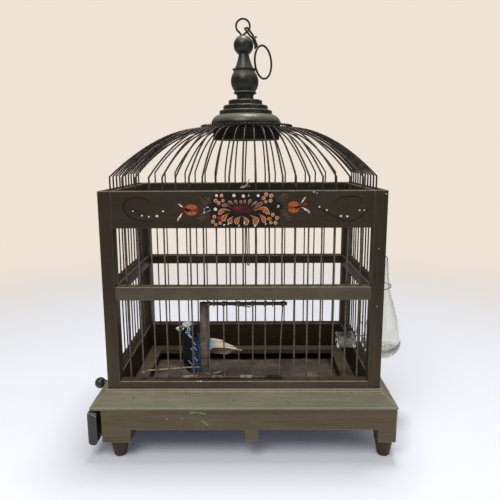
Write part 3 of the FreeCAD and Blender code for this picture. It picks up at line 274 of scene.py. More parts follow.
def painted_softwood(name, paint, patch, worn, grain, wear=0.5, patch_share=0.5, film=None,
                     gloss=0.14, dullness=(0.44, 0.66), worn_and_lit_below=None):
    """Brushed oil paint on softwood: streaks along the grain, faded patches, pale rubbed edges and
    scuffs; the edges that face up also carry a painted highlight in the same pale colour. A film is
    a greener bloom that lies on the lower half of the base's slopes; upright boards are painted
    paler towards their foot, as light from the table would make them; edges above a given level
    keep their paint and get no painted highlight, and below it the edges that face down get the
    highlight too."""
    material, tree, place = new_material(name)
    stretch = {"x": (0.06, 1, 1), "y": (1, 0.06, 1), "z": (1, 1, 0.06)}[grain]
    along = add(tree, "ShaderNodeMapping", {"Vector": place, "Scale": stretch}).outputs[0]
    streaks = noise(tree, along, 420, 5, 0.6)
    broad = noise(tree, along, 60, 3)
    patches = noise(tree, place, 24, 6, 0.65)
    faded = ranged(tree, patches, 0.42, 0.66, 0, patch_share)
    colour = blend(tree, faded, paint, patch)
    if film:
        height = part(tree, place, "Z")
        below = ranged(tree, height, 71 * MM, 61 * MM)
        bloom = ranged(tree, broad, 0.35, 0.6, 0.45, 1)
        share = reckon(tree, "MULTIPLY", below, bloom)
        above = ranged(tree, height, 59 * MM, 59.6 * MM)
        share = reckon(tree, "MULTIPLY", share, above)
        colour = blend(tree, share, colour, film)
    # Painted light: upright boards are made paler towards their foot, as light thrown up from the
    # table would make them.
    if grain == "z":
        height = part(tree, place, "Z")
        table_light_share = ranged(tree, height, 200 * MM, 80 * MM, 0, 0.4)
        colour = blend(tree, table_light_share, colour, "#544a3c")
    streak_light = ranged(tree, streaks, 0.3, 0.7, 0.84, 1.16)
    broad_light = ranged(tree, broad, 0.3, 0.7, 0.86, 1.14)
    light = reckon(tree, "MULTIPLY", streak_light, broad_light)
    scaled = add(tree, "ShaderNodeVectorMath", {0: colour, "Scale": light}, operation="SCALE")
    rounded = add(tree, "ShaderNodeBevel", {"Radius": 1.5 * MM}, samples=6)
    facing = add(tree, "ShaderNodeNewGeometry").outputs["Normal"]
    edge = add(tree, "ShaderNodeVectorMath", {0: rounded.outputs[0], 1: facing},
               operation="DOT_PRODUCT")
    edge_share = ranged(tree, edge.outputs["Value"], 0.985, 0.84, 0, 0.6)
    arris = add(tree, "ShaderNodeAttribute", attribute_name="arris")
    edge_share = reckon(tree, "MAXIMUM", edge_share, arris.outputs["Fac"])
    chips = noise(tree, place, 130, 8, 0.7)
    chip_share = ranged(tree, chips, 0.4, 0.62, wear * 0.5, wear)
    rubbed = reckon(tree, "MULTIPLY", edge_share, chip_share)
    # Painted highlight: the pale edge line is kept mostly where edges face up, as light from above
    # would light them, so it is partly wear and partly painted highlight; below a given level,
    # edges facing down get it too.
    tilt = part(tree, rounded.outputs[0], "Z")
    if worn_and_lit_below:
        tilt = reckon(tree, "ABSOLUTE", tilt)
        height = part(tree, place, "Z")
        clear = reckon(tree, "LESS_THAN", height, worn_and_lit_below)
        tilt = reckon(tree, "MULTIPLY", tilt, clear)
    raised = ranged(tree, tilt, 0.1, 0.5, 0.18, 1.0)
    rubbed = reckon(tree, "MULTIPLY", rubbed, raised, use_clamp=True)
    scuffs = noise(tree, along, 150, 8, 0.75)
    scuff_share = ranged(tree, scuffs, 0.66, 0.75, 0, wear * 0.6)
    bare = reckon(tree, "MAXIMUM", rubbed, scuff_share)
    shown = blend(tree, bare, scaled.outputs[0], worn)
    dull = ranged(tree, patches, 0.3, 0.7, dullness[0], dullness[1])
    bump = relief(tree, streaks, 0.25, 0.25)
    return coated(material, shown, dull, bump, gloss=gloss)


dark_woods = {grain: painted_softwood("dark oil paint on frame softwood, grain " + grain, "#31281f",
                                      "#383225", "#a39a84", grain, wear=0.7) for grain in "xyz"}
rail_woods = {grain: painted_softwood("olive oil paint on rails, grain " + grain, "#52493c",
                                      "#5e5545", "#a89f86", grain, wear=0.8, patch_share=0.8)
              for grain in "xy"}
low_woods = {grain: painted_softwood("brown oil paint on low boards, grain " + grain, "#3f332c",
                                     "#4c4537", "#aba184", grain, wear=0.8, patch_share=0.8)
             for grain in "xy"}
slope_woods = {grain: painted_softwood("faded olive paint on mouldings, grain " + grain, "#766e5d",
                                       "#837c6a", "#b9b294", grain, 0.9, 0.8, film="#707460")
               for grain in "xy"}
apron_woods = {grain: painted_softwood("brown-olive paint on aprons, grain " + grain, "#5b4f40",
                                       "#5e5844", "#a8a184", grain, wear=0.85, patch_share=0.9,
                                       worn_and_lit_below=49 * MM) for grain in "xy"}
foot_wood = painted_softwood("dark paint on feet", "#30272a", "#3a3030", "#7d7168", "z", wear=0.4)
painted_boards = ((dark_woods, 0.9 * MM, {"x": ("front_top_board", "rear_top_board",
                                                "rear_mid_rail", "rear_lower_board"),
                                          "y": ("side_top_boards", "side_mid_rails",
                                                "side_lower_boards"),
                                          "z": ("front_posts", "rear_posts")}),
                  (rail_woods, 0.9 * MM, {"x": ("front_mid_rail",)}),
                  (low_woods, 0.9 * MM, {"x": ("front_lower_board",)}),
                  (slope_woods, 0.5 * MM, {"x": ("front_moulding", "rear_moulding"),
                                           "y": ("left_moulding", "right_moulding")}),
                  (apron_woods, 0.8 * MM, {"x": ("front_apron", "rear_apron", "base_ledges",
                                                 "corner_blocks"), "y": ("right_apron",)}))
for woods, ease, boards in painted_boards:
    for grain, names in boards.items():
        for name in names:
            flush = {"base_ledges": 0,
                     "corner_blocks": 0}.get(name, 50 * MM if name.endswith("apron") else 1)
            finished(name + "_wood", eased_board(name, ease, flush), woods[grain], "cage", [name],
                     40)

# Wear and fixings. Punched nail heads down the base's slopes, chips that show pale undercoat at the
# corners, and flecks of green paint on the front apron and of white paint above it.


def flake(place, normal, across, along=1.0, corners=9):
    """A small ragged patch that lies on a surface: its places in millimetres, ready to be
    joined."""
    facing = Vector(normal).normalized()
    side = Vector((1, 0, 0)) if abs(facing.x) < 0.7 else Vector((0, 1, 0))
    up = facing.cross(side).normalized()
    ragged = random.Random(int(place[0] * 31 + place[2] * 7))
    rim = []
    for corner in range(corners):
        angle = 2 * math.pi * corner / corners
        reach = across / 2 * ragged.uniform(0.65, 1.2)
        rim.append(side * (math.cos(angle) * reach * along) + up * (math.sin(angle) * reach))
    vertices = [(Vector(place) + point + facing * lift) * MM for lift in (0.06, -0.3)
                for point in rim]
    faces = [tuple(range(corners)), tuple(range(corners, 2 * corners))[::-1]]
    for corner in range(corners):
        after = (corner + 1) % corners
        faces.append((corner, corners + corner, corners + after, after))
    return shell("flake", vertices, faces)


def chipped(name, colour, shade, patches, body="cage"):
    """Bare or filled spots of one colour, mottled like the paint around them."""
    material, tree, place = new_material(name)
    mottle = noise(tree, place, 700, 4)
    tone = ramp(tree, mottle, (0.38, shade), (0.6, colour))
    bump = relief(tree, mottle, 0.4, 0.1)
    coated(material, tone, 0.7, bump, gloss=0.2)
    shapes = [flake(*patch) for patch in patches]
    finished(name, joined_mesh(name, shapes), material, body, [])


slope, face, up_face = (0, -0.63, 0.77), (0, -1, 0), (0, 0, 1)
chipped("nail_heads", "#2a2621", "#191613", [((-116.2, -99.7, 68.7), slope, 1.7),
                                             ((-91.1, -103.7, 65.4), slope, 1.5),
                                             ((-61.3, -95.6, 72.1), slope, 1.4),
                                             ((-10.2, -102.1, 66.8), slope, 1.5),
                                             ((46.4, -104.3, 65.0), slope, 1.4),
                                             ((114.1, -95.4, 72.2), slope, 1.4)])
chipped("pale_chips", "#a9a28c", "#7d7764", [((70.9, -92.5, 284.0), face, 1.8, 1.5),
                                             ((73.9, -92.5, 282.6), face, 1.6),
                                             ((137.6, -92.5, 226.6), face, 1.1, 1.6),
                                             ((138.0, -92.5, 166.0), face, 1.1, 1.3),
                                             ((146.6, -96.2, 71.6), slope, 1.4, 1.6),
                                             ((149.0, -99.6, 68.9), slope, 1.2),
                                             ((151.4, -103.0, 66.1), slope, 1.3),
                                             ((147.2, -104.9, 64.4), slope, 1.0),
                                             ((-80.5, -106.5, 48.2), face, 1.4),
                                             ((-64.7, -106.5, 48.2), face, 1.2),
                                             ((142.6, -92.5, 281.6), face, 1.6, 1.2)])
chipped("white_chips", "#e4e2d8", "#bdb9ab", [((-49.2, -91.8, 83.9), up_face, 1.3),
                                              ((-45.9, -91.9, 83.9), up_face, 1.6, 1.5),
                                              ((31.6, -107.6, 61.9), slope, 1.0)])
chipped("green_scuffs", "#7f866c", "#62654f", [((-53.6, -106.5, 55.3), face, 2.8, 2.4),
                                               ((-49.0, -106.5, 55.8), face, 2.2, 2.2),
                                               ((-45.2, -106.5, 54.7), face, 2.6, 2.0),
                                               ((-40.8, -106.5, 54.0), face, 2.2, 1.8),
                                               ((-43.4, -106.5, 45.8), face, 2.4, 2.0),
                                               ((-40.5, -106.5, 43.8), face, 2.4, 1.6),
                                               ((-38.6, -106.5, 41.4), face, 2.0, 2.0),
                                               ((-43.0, -106.5, 40.2), face, 1.7, 1.8)])
chipped("end_board_chips", "#9aa29c", "#767e79", [((-159.0, -104.0, 51.4), (0, -1, 0.2), 1.8, 2.2),
                                                  ((-156.9, -104.0, 50.0), (0, -1, 0), 1.4, 1.2)],
        "tray")

# Feet. Four short turned and tapered legs, let into the aprons' corners and painted with the base.


def arc_points(start, end, radius, chords=8):
    """Points on the minor arc after start up to end; a positive radius turns left, a negative one
    right."""
    a, b = Vector(start), Vector(end)
    chord = b - a
    side = Vector((-chord.y, chord.x)).normalized() * math.copysign(1, radius)
    centre = (a + b) / 2 + side * math.sqrt(max(radius ** 2 - (chord.length / 2) ** 2, 0))
    first = math.atan2(a.y - centre.y, a.x - centre.x)
    sweep = 2 * math.asin(min(chord.length / 2 / abs(radius), 1)) * math.copysign(1, radius)
    angles = [first + sweep * step / chords for step in range(1, chords)]
    return [(centre.x + abs(radius) * math.cos(t), centre.y + abs(radius) * math.sin(t))
            for t in angles] + [tuple(end)]


def profile(corners):
    """A lathe profile in millimetres: (radius, height), with a third number where an arc
    arrives."""
    points = [corners[0][:2]]
    for corner in corners[1:]:
        points += arc_points(points[-1], corner[:2], corner[2]) if len(corner) > 2 else [corner[:2]]
    return points


def turned_mesh(name, points, centre=(0, 0, 0), sides=72, axis=(0, 0, 1)):
    """A closed turned form about an axis through centre; its profile starts and ends on the
    axis."""
    along = Vector(axis)
    across = (along.cross(Vector((0, 1, 0))).normalized() if abs(along.y) < 0.9
              else Vector((1, 0, 0)))
    beside = along.cross(across)
    vertices, faces, rings = [], [], []
    for radius, level in points:
        ring = []
        for side in range(sides if radius > 1e-6 else 1):
            angle = 2 * math.pi * side / sides
            out = (across * math.cos(angle) + beside * math.sin(angle)) * radius
            vertices.append((Vector(centre) + out + along * level) * MM)
            ring.append(len(vertices) - 1)
        rings.append(ring)
    for low, high in zip(rings, rings[1:]):
        for side in range(sides):
            after = (side + 1) % sides
            corners = [low[side % len(low)], low[after % len(low)], high[after % len(high)],
                       high[side % len(high)]]
            unique = list(dict.fromkeys(corners))
            if len(unique) > 2:
                faces.append(unique)
    return shell(name, vertices, faces)


foot_height, foot_top_radius, foot_tip_radius = 21, 10.6, 6.7
foot_profile = profile([(0, 0), (foot_tip_radius - 1.6, 0), (foot_tip_radius, 1.6, 1.7),
                        (foot_top_radius - 0.4, foot_height - 1.5), (foot_top_radius, foot_height),
                        (0, foot_height)])
foot_places = [(x, y) for x in (-135, 151.15) for y in (-92, 92)]
feet = [turned_mesh("foot", foot_profile, (x, y, 0), 48) for x, y in foot_places]
finished("feet_turned", joined_mesh("feet_turned", feet), foot_wood, "cage", ["feet"],
         40)

# Bars. Drawn iron wire, dark brown with age, pushed up into the top boards and sprung into the low
# ones, so that none is quite straight.


def mesh_tree(name, **inputs):
    """A new tree of Geometry Nodes from a mesh and some named inputs to a mesh, and the outputs of
    its input."""
    tree = bpy.data.node_groups.new(name, "GeometryNodeTree")
    for socket, kind in (("Geometry", "Geometry"), *inputs.items()):
        tree.interface.new_socket(socket, in_out="INPUT", socket_type="NodeSocket" + kind)
    tree.interface.new_socket("Geometry", in_out="OUTPUT", socket_type="NodeSocketGeometry")
    return tree, add(tree, "NodeGroupInput").outputs


def made_by(tree, name, guide, **inputs):
    """The closed mesh that a tree of Geometry Nodes makes from a guide of lines or points."""
    holder = bpy.data.objects.new(guide.name, guide)
    scene.collection.objects.link(holder)
    nodes = holder.modifiers.new(tree.name, "NODES")
    nodes.node_group = tree
    for item in tree.interface.items_tree:
        if item.in_out == "INPUT" and item.name in inputs:
            nodes[item.identifier] = inputs[item.name]
    bpy.context.view_layer.update()
    shaped = holder.evaluated_get(bpy.context.evaluated_depsgraph_get())
    made = bpy.data.meshes.new_from_object(shaped)
    made.name = name
    bpy.data.objects.remove(holder)
    bpy.data.meshes.remove(guide)
    return outward(made)


def wire_tree():
    """Geometry Nodes that give lines of edges a round section, in one material."""
    tree, given = mesh_tree("drawn_wire", Radius="Float", Sides="Int", Material="Material")
    lines = add(tree, "GeometryNodeMeshToCurve", {"Mesh": given["Geometry"]})
    circle = add(tree, "GeometryNodeCurvePrimitiveCircle",
                 {"Resolution": given["Sides"], "Radius": given["Radius"]})
    tube = add(tree, "GeometryNodeCurveToMesh",
               {"Curve": lines.outputs[0], "Profile Curve": circle.outputs[0], "Fill Caps": True})
    plain = add(tree, "GeometryNodeRealizeInstances", {"Geometry": tube.outputs[0]})
    metal = add(tree, "GeometryNodeSetMaterial", {"Geometry": plain.outputs[0],
                                                  "Material": given["Material"]})
    add(tree, "NodeGroupOutput", {"Geometry": metal.outputs[0]})
    return tree


drawn_wire = wire_tree()


def wire_mesh(name, lines, radius, material, sides=8):
    """Round wire along lines of points in millimetres; a closed line repeats no point and ends in
    True."""
    vertices, edges = [], []
    for line in lines:
        closed = line[-1] is True
        points = line[:-1] if closed else line
        first = len(vertices)
        vertices += [Vector(point) * MM for point in points]
        edges += [(first + step, first + step + 1) for step in range(len(points) - 1)]
        if closed:
            edges.append((len(vertices) - 1, first))
    guide = bpy.data.meshes.new(name + "_line")
    guide.from_pydata(vertices, edges, [])
    return made_by(drawn_wire, name, guide, Radius=radius * MM, Sides=sides, Material=material)


def wired(name, lines, radius, metal, body, replaces=(), sides=8):
    """A piece of round wire, as wire_mesh draws it."""
    return finished(name, wire_mesh(name, lines, radius, metal, sides), metal, body, replaces,
                    60)


def aged_wire(name, colour, bright, rust, dullness=(0.38, 0.62)):
    """Drawn iron wire with a dark brown skin, rubbed bright in places, with a little rust."""
    material, tree, place = new_material(name)
    mottle = noise(tree, place, 160, 4)
    fine = noise(tree, place, 900, 3)
    skin = ramp(tree, mottle, (0.34, colour), (0.55, bright), (0.68, colour), (0.78, rust))
    dull = ranged(tree, mottle, 0.3, 0.7, dullness[0], dullness[1])
    bump = relief(tree, fine, 0.2, 0.1)
    return coated(material, skin, dull, bump, gloss=0.3, others={"Metallic": 0.25})


iron_wire = aged_wire("aged drawn iron wire", "#392f2a", "#665a52", "#4c362a")
# Painted shade: the dome's wires are the bars' own wire, given a darker skin because they show dark
# against the light.
dome_iron_painted_shade = aged_wire("dark drawn iron wire of the dome", "#221b18", "#4c423c", "#35261e",
                      (0.26, 0.44))
frame_width, frame_depth, post_side, front_rail, side_rail = 290, 185, 13.5, 12, 13
frame_low, frame_top, mid_top = 57.4, 285.4, 187.0
bar_radius, bar_pitch, bar_seat, door_side_bars = 0.86, 13.4, 6, 4
front_line = frame_depth / 2 - front_rail / 2
side_line = frame_width / 2 - side_rail / 2
bars_across = int((frame_width - 2 * post_side) / bar_pitch)
bars_deep = int((frame_depth - 2 * post_side) / bar_pitch)
sway = random.Random(7)


def bar_places(count):
    """Even places of a row of bars, about the middle of its side."""
    return [(index - (count - 1) / 2) * bar_pitch for index in range(count)]


def sprung_bar(x, y, low, high, reach=0.35):
    """A bar that bows a little one way between its ends."""
    lean_x, lean_y = sway.uniform(-reach, reach), sway.uniform(-reach, reach)
    steps = 6
    return [(x + lean_x * math.sin(math.pi * step / steps),
             y + lean_y * math.sin(math.pi * step / steps), low + (high - low) * step / steps)
            for step in range(steps + 1)]


top_board_high, front_board_high, rear_board_high, over_door = 37.6, 26.5, 32.4, 175.7
bar_high = frame_top - top_board_high + bar_seat
front_seat = frame_low + front_board_high - bar_seat
rear_seat = frame_low + rear_board_high - bar_seat
door_edge = (door_side_bars - 0.5) * bar_pitch
front_lines = [sprung_bar(x, -front_line, over_door if abs(x) < door_edge else front_seat, bar_high)
               for x in bar_places(bars_across)]
rear_lines = [sprung_bar(x, front_line, rear_seat, bar_high) for x in bar_places(bars_across)]
side_lines = [sprung_bar(sign * side_line, y, rear_seat, bar_high)
              for y in bar_places(bars_deep) for sign in (-1, 1)]
for name, lines in (("front_bars", front_lines), ("rear_bars", rear_lines),
                    ("side_bars", side_lines)):
    wired(name + "_wire", lines, bar_radius, iron_wire, "cage", [name])

# Dome. The same wire, one from above each bar, its skin painted darker as shade: each stands up for
# a finger's width, kinks, and is drawn in to the hub under the crown, where the twisted ring binds
# them all. The crown and the ring sit a little to the right of the frame's middle, so the wires are
# drawn that way too.
dome_radius = bar_radius + 0.06
dome_stub, dome_ring_radius, dome_ring_rise = 13.1, 51, 64.7
dome_end_radius, dome_end_rise = 34, 66.7
dome_fullness, dome_drift, dome_lift, crown_shift = 1.9, 0.9, 0.8, 3.3


def dome_line(x, y):
    """The line of one dome wire, from above a bar's place to the hub."""
    reach = math.hypot(x, y)
    heading = Vector((x / reach, y / reach, 0))
    beside = Vector((-heading.y, heading.x, 0))
    drift, lift = sway.uniform(-dome_drift, dome_drift), sway.uniform(-dome_lift, dome_lift)
    points = [heading * reach + Vector((0, 0, frame_top - bar_seat)),
              heading * reach + Vector((0, 0, frame_top + dome_stub * 0.72))]
    runs = 14
    for step in range(runs + 1):
        run = step / runs
        rise = 1 - (1 - run) ** dome_fullness
        radius = reach + (dome_ring_radius - reach) * run
        level = dome_stub + (dome_ring_rise - dome_stub) * rise
        bow = math.sin(math.pi * run)
        points.append(heading * radius + beside * (drift * bow)
                      + Vector((crown_shift * run, 0, frame_top + level + lift * bow)))
    points.append(heading * dome_end_radius + Vector((crown_shift, 0, frame_top + dome_end_rise)))
    return points


for name, side in (("front_dome_wires", -1), ("rear_dome_wires", 1)):
    lines = [dome_line(x, side * front_line) for x in bar_places(bars_across)]
    wired(name + "_drawn", lines, dome_radius, dome_iron_painted_shade, "cage", [name])
lines = [dome_line(sign * side_line, y) for y in bar_places(bars_deep) for sign in (-1, 1)]
wired("side_dome_wires_drawn", lines, dome_radius, dome_iron_painted_shade, "cage", ["side_dome_wires"])


def twisted_pair(points, radius, pitch, closed=False, per_turn=10, strands=2):
    """Lines of strands that wind round a line of points in millimetres."""
    path = [Vector(point) for point in points]
    if closed:
        path.append(path[0])
    lengths = [0]
    for a, b in zip(path, path[1:]):
        lengths.append(lengths[-1] + (b - a).length)
    turns = max(round(lengths[-1] / pitch), 1) if closed else lengths[-1] / pitch
    count = int(turns * per_turn)
    lines = [[] for strand in range(strands)]
    for step in range(count if closed else count + 1):
        along = lengths[-1] * step / count
        index = max(i for i, length in enumerate(lengths[:-1]) if length <= along + 1e-9)
        start, end = path[index], path[index + 1]
        direction = (end - start).normalized()
        middle = start + direction * (along - lengths[index])
        across = direction.cross(Vector((0, 0, 1)))
        across = Vector((1, 0, 0)) if across.length < 0.05 else across.normalized()
        beside = direction.cross(across)
        for strand in range(strands):
            angle = 2 * math.pi * (turns * step / count + strand / strands)
            lines[strand].append(middle + (across * math.cos(angle)
                                           + beside * math.sin(angle)) * radius)
    return [line + [True] for line in lines] if closed else lines


def circle_points(centre, radius, corners, normal=(0, 0, 1)):
    """Points on a circle that faces along a normal, in millimetres."""
    along = Vector(normal).normalized()
    across = along.cross(Vector((0, 0, 1)))
    across = Vector((1, 0, 0)) if across.length < 0.01 else across.normalized()
    beside = along.cross(across)
    return [Vector(centre) + (across * math.cos(2 * math.pi * step / corners)
                              + beside * math.sin(2 * math.pi * step / corners)) * radius
            for step in range(corners)]


ring_level = frame_top + dome_ring_rise + bar_radius + 1.7
ring_loop = circle_points((crown_shift, 0, ring_level), dome_ring_radius, 120)
strand_reach, strand_pitch, strand_radius = 1.0, 8.5, 0.72
ring_strands = twisted_pair(ring_loop, strand_reach, strand_pitch, closed=True)
binding_wire = aged_wire("blackened binding wire", "#1f1814", "#3a302a", "#33231a")
wired("binding_ring_twist", ring_strands, strand_radius, binding_wire, "cage", ["binding_ring"])

# Hub, crown and finial. Three turnings in the same dark paint, more satin than the boards: a disc
# under the wires, a stepped cushion over them, and a baluster whose tenon holds the crown down.


def satin_turning(name, paint, patch, worn, dust_and_light):
    """Satin oil paint on a turned hardwood: fine rings round the piece, rubbed high spots, and a
    paler olive wherever it faces up, partly a dusty film and partly painted light from above."""
    material, tree, place = new_material(name)
    rings = add(tree, "ShaderNodeMapping", {"Vector": place, "Scale": (0.05, 0.05, 1)}).outputs[0]
    tool_marks = noise(tree, rings, 900, 3)
    patches = noise(tree, place, 55, 6, 0.65)
    colour = ramp(tree, patches, (0.35, paint), (0.7, patch))
    rounded = add(tree, "ShaderNodeBevel", {"Radius": 1.2 * MM}, samples=6)
    facing = add(tree, "ShaderNodeNewGeometry").outputs["Normal"]
    # Paler olive on whatever faces up: partly a dusty film, partly painted light from above, as on
    # lit step tops.
    upward = part(tree, facing, "Z")
    dust_and_top_light_share = ranged(tree, upward, 0.15, 0.75, 0, 0.62)
    colour = blend(tree, dust_and_top_light_share, colour, dust_and_light)
    edge = add(tree, "ShaderNodeVectorMath", {0: rounded.outputs[0], 1: facing},
               operation="DOT_PRODUCT")
    edge_share = ranged(tree, edge.outputs["Value"], 0.99, 0.85, 0, 0.5)
    chips = ranged(tree, patches, 0.4, 0.6, 0.2, 1)
    rubbed = reckon(tree, "MULTIPLY", edge_share, chips)
    shown = blend(tree, rubbed, colour, worn)
    bump = relief(tree, tool_marks, 0.2, 0.2)
    return coated(material, shown, 0.34, bump, gloss=0.36)


turned_paint = satin_turning("satin oil paint on turned wood", "#15140f", "#1f2019", "#6b6957",
                             "#7c7e6e")
hub_paint = painted_softwood("near-black paint on the hub", "#15110f", "#1f1a16", "#4a4238", "z",
                             wear=0.3)
hub_low = frame_top + 52.2
crown_low, eye_level, eye_shift = 353.1, 462.4, 0.4


def leaning(mesh):
    """Leans a piece of the crown: its foot stands to the right, and its eye a little left of the
    middle."""
    for vertex in mesh.vertices:
        share = min(max((eye_level - vertex.co.z / MM) / (eye_level - crown_low), 0), 1)
        vertex.co.x += (crown_shift * share - eye_shift) * MM
    return mesh


hub_profile = profile([(10.1, 0), (37, 0), (38, 1, 1), (38, 12), (37, 13, 1), (10.1, 13),
                       (10.1, 0)])
low_step, mid_step, top_step, crown_height = 12.4, 17.4, 22.9, 28.7
finial_low = crown_low + 31.1


def rounded_step(radius, low, high, ease=1.4):
    """A flat step's side and its rounded upper edge."""
    return [(radius - 0.5, low), (radius, low + 0.6), (radius, high - ease),
            (radius - ease, high, ease * 1.02)]


crown_profile = profile([(0, -12), (10, -12), (10, 0), (36.8, 0), (40, 2.8, 3.4),
                         (31.4, low_step, 12)] + rounded_step(30, low_step, mid_step)
                        + rounded_step(25.3, mid_step, top_step)
                        + rounded_step(19.2, top_step, crown_height)
                        + [(5.1, crown_height), (5.1, crown_height - 9.7), (0, crown_height - 9.7)])
disc_low, ball_low, collar_low, flare_low, flare_top = 4.2, 7.9, 28.7, 33, 50
belly_radius, top_ball_reach, ball_radius, neck_radius, eye_hole = 16.2, 10.6, 11.1, 5.7, 1.4
ball_seat = math.sqrt(belly_radius ** 2 - 10.4 ** 2)
top_ball_middle = flare_top + math.sqrt(top_ball_reach ** 2 - 5.6 ** 2)
ball_level = top_ball_middle - 2.4
ball_join = ball_level - math.sqrt(ball_radius ** 2 - neck_radius ** 2)
finial_profile = profile([(0, -12), (5, -12), (5, -2.3), (9.9, -2.3), (9.3, 1.4),
                          (9.8, disc_low - 0.4), (13.1, disc_low + 1.2, 4),
                          (12.8, disc_low + 1.9, 0.6), (ball_seat - 0.6, ball_low - 0.8, -6),
                          (ball_seat, ball_low + 0.4), (ball_seat, collar_low - 1, belly_radius),
                          (11.8, collar_low), (13.4, collar_low + 2.4), (13.3, collar_low + 2.9),
                          (10.5, flare_low - 0.7, -8), (neck_radius, ball_join, -58),
                          (eye_hole, ball_level + math.sqrt(ball_radius ** 2 - eye_hole ** 2),
                           ball_radius), (eye_hole, ball_level), (0, ball_level)])
for name, node, points, level, sides, paint in (
        ("hub_turned", "hub_disc", hub_profile, hub_low, 96, hub_paint),
        ("crown_turned", "crown", crown_profile, crown_low, 112, turned_paint),
        ("finial_turned", "finial", finial_profile, finial_low, 72, turned_paint)):
    finished(name, leaning(turned_mesh(name, points, (0, 0, level), sides)), paint, "cage", [node],
             35)

# Hanging eye and ring. Two bent wires: a drop-shaped eye whose ends go down into the top ball, and
# a ring whose ends are knotted together under a narrow link that swings on the eye.
eye_radius, eye_wire, eye_sunk = 7.65, 0.85, 0.9
finial_top = finial_low + top_ball_middle + top_ball_reach
eye_centre = Vector((-0.2, 0, finial_top + eye_radius + eye_wire - eye_sunk))
black_wire = aged_wire("blackened iron wire", "#1d1713", "#332a25", "#33231a")
eye_bow = [eye_centre + Vector((math.sin(t), 0, math.cos(t))) * eye_radius
           for t in (math.radians(degrees) for degrees in range(-148, 153, 10))]
eye_lines = [[(-0.6, 0.7, finial_top - 5.6), (-1.9, 0.7, finial_top - 2.0)] + eye_bow
             + [(-0.4, -0.7, finial_top - 2.2), (-2.4, -0.7, finial_top - 5.6)],
             [(0, 0, finial_top - 9), (0, 0, finial_top - 3)]]
wired("hanging_eye_bent", eye_lines, 1.1, black_wire, "cage", ["hanging_eye"], sides=10)
hoop_centre = eye_centre + Vector((22.6, 0, -38.4))
hoop_turn, shank_seat, hoop_radius = math.radians(57), math.radians(128), 17.6
hoop_face = Vector((math.sin(hoop_turn), -math.cos(hoop_turn), 0))
hoop_across = Vector((0, 0, 1)).cross(hoop_face)
link_low = eye_centre + Vector((12.0, -2.2, -13.6))
knot_low = eye_centre + Vector((15.0, -1.8, -21.8))
link_top = eye_centre + Vector((3.3, 0, -1.9))
link_run = (link_low - link_top).normalized()
link_side = Vector((-link_run.z, 1.5, link_run.x)).normalized() * 3.3
link_line = [link_low + link_side * 0.3, link_low + link_side - link_run * 4,
             link_top + link_side + link_run * 2, link_top + link_side * 0.8 + link_run * 0.2,
             link_top - link_side * 0.8 + link_run * 0.2, link_top - link_side + link_run * 2,
             link_low - link_side - link_run * 4, link_low - link_side * 0.3]
knot_reach, knot_pitch = 1.05, 3.2
knot_strands = twisted_pair([link_low - link_run * 1.2, knot_low], knot_reach, knot_pitch)
knot_ends = [[link_low + Vector(step) for step in ((0.6, 0.6, 0), (2.2, 1.0, 2.2),
                                                   (2.8, 1.0, 1.0))],
             [knot_low + Vector(step) for step in ((0, 0, 0), (-1.6, 0.4, -1.2),
                                                   (-1.8, 0.6, -2.6))]]
hoop_joint = (hoop_centre + hoop_across * (hoop_radius * math.cos(shank_seat))
              + Vector((0, 0, hoop_radius * math.sin(shank_seat))))
ring_lines = ([link_line, circle_points(hoop_centre, hoop_radius, 72, hoop_face) + [True],
               [knot_low, hoop_joint]] + knot_strands + [[link_low, knot_low]] + knot_ends)
wired("hanging_ring_bent", ring_lines, 1.15, black_wire, "hanging_ring", ["hanging_ring"], sides=10)

# Flap door. A stout rod turns in two staples under the mid rail; six thin wires hang from it to a
# foot wire, on which three lengths of fine wire are wound as sleeves, and a short wire at its left
# stops it.
front_rail_low = mid_top - 14.3
door_y, door_axis, door_foot = -front_line, front_rail_low - 5.1, frame_low + front_board_high + 2.5
door_half, door_wires, door_pitch = 45.6, 6, 15.3


def door_line(level):
    """A line along the door's whole width."""
    return [(-door_half, door_y, level), (0, door_y, level), (door_half, door_y, level)]


wired("door_rod", [door_line(door_axis)], 1.9, binding_wire, "door", ["door_top_bar"], sides=16)
wound_half, wound_radius, wound_pitch, hung_lines = 1.3, 2.15, 0.9, []
for index, (top_shift, foot_shift) in enumerate(((2, 2), (2.3, 2.2), (2.6, 2.4), (2.1, 2.1), (0, 0),
                                                 (2.9, -0.6))):
    x = (index - (door_wires - 1) / 2) * door_pitch + top_shift
    plumb = sprung_bar(x, door_y, door_foot + 0.6, door_axis - 1.5, 0.3)
    lean = foot_shift - top_shift
    hung_lines.append([(along + lean * (door_axis - level) / (door_axis - door_foot), across, level)
                       for along, across, level in plumb])
    hung_lines += twisted_pair([(x - wound_half, door_y, door_axis),
                                (x + wound_half, door_y, door_axis)], wound_radius, wound_pitch,
                               strands=1)
wired("door_hung_wires", hung_lines, 0.72, iron_wire, "door", ["door_wires"])
wired("door_foot_wire", [door_line(door_foot)], 1.0, iron_wire, "door", ["door_bottom_bar"],
      sides=10)
fine_wire = aged_wire("fine soft wire with a pink-grey bloom", "#5a4a46", "#8a7672", "#6a4a40")
tinned_wire = aged_wire("fine tinned wire", "#6a665c", "#a8a494", "#5c5246")
coil_radius, coil_pitch = 1.42, 0.78
for name, middle, half, metal in (("left", -28.4, 6.4, fine_wire),
                                  ("middle", 2.4, 6.2, tinned_wire),
                                  ("right", 31.4, 9.2, binding_wire)):
    coil = twisted_pair([(middle - half, door_y, door_foot), (middle + half, door_y, door_foot)],
                        coil_radius, coil_pitch, strands=1)
    wired("door_sleeve_" + name, coil, 0.37, metal, "door", ["door_sleeves"] if name == "left"
          else [], sides=6)
stop_y = door_y - 1.9
stop_lines = [[(-door_half, door_y, door_foot), (-door_half - 1.9, stop_y, door_foot),
               (-door_half - 12, stop_y, door_foot), (-door_half - 20, stop_y, door_foot)]]
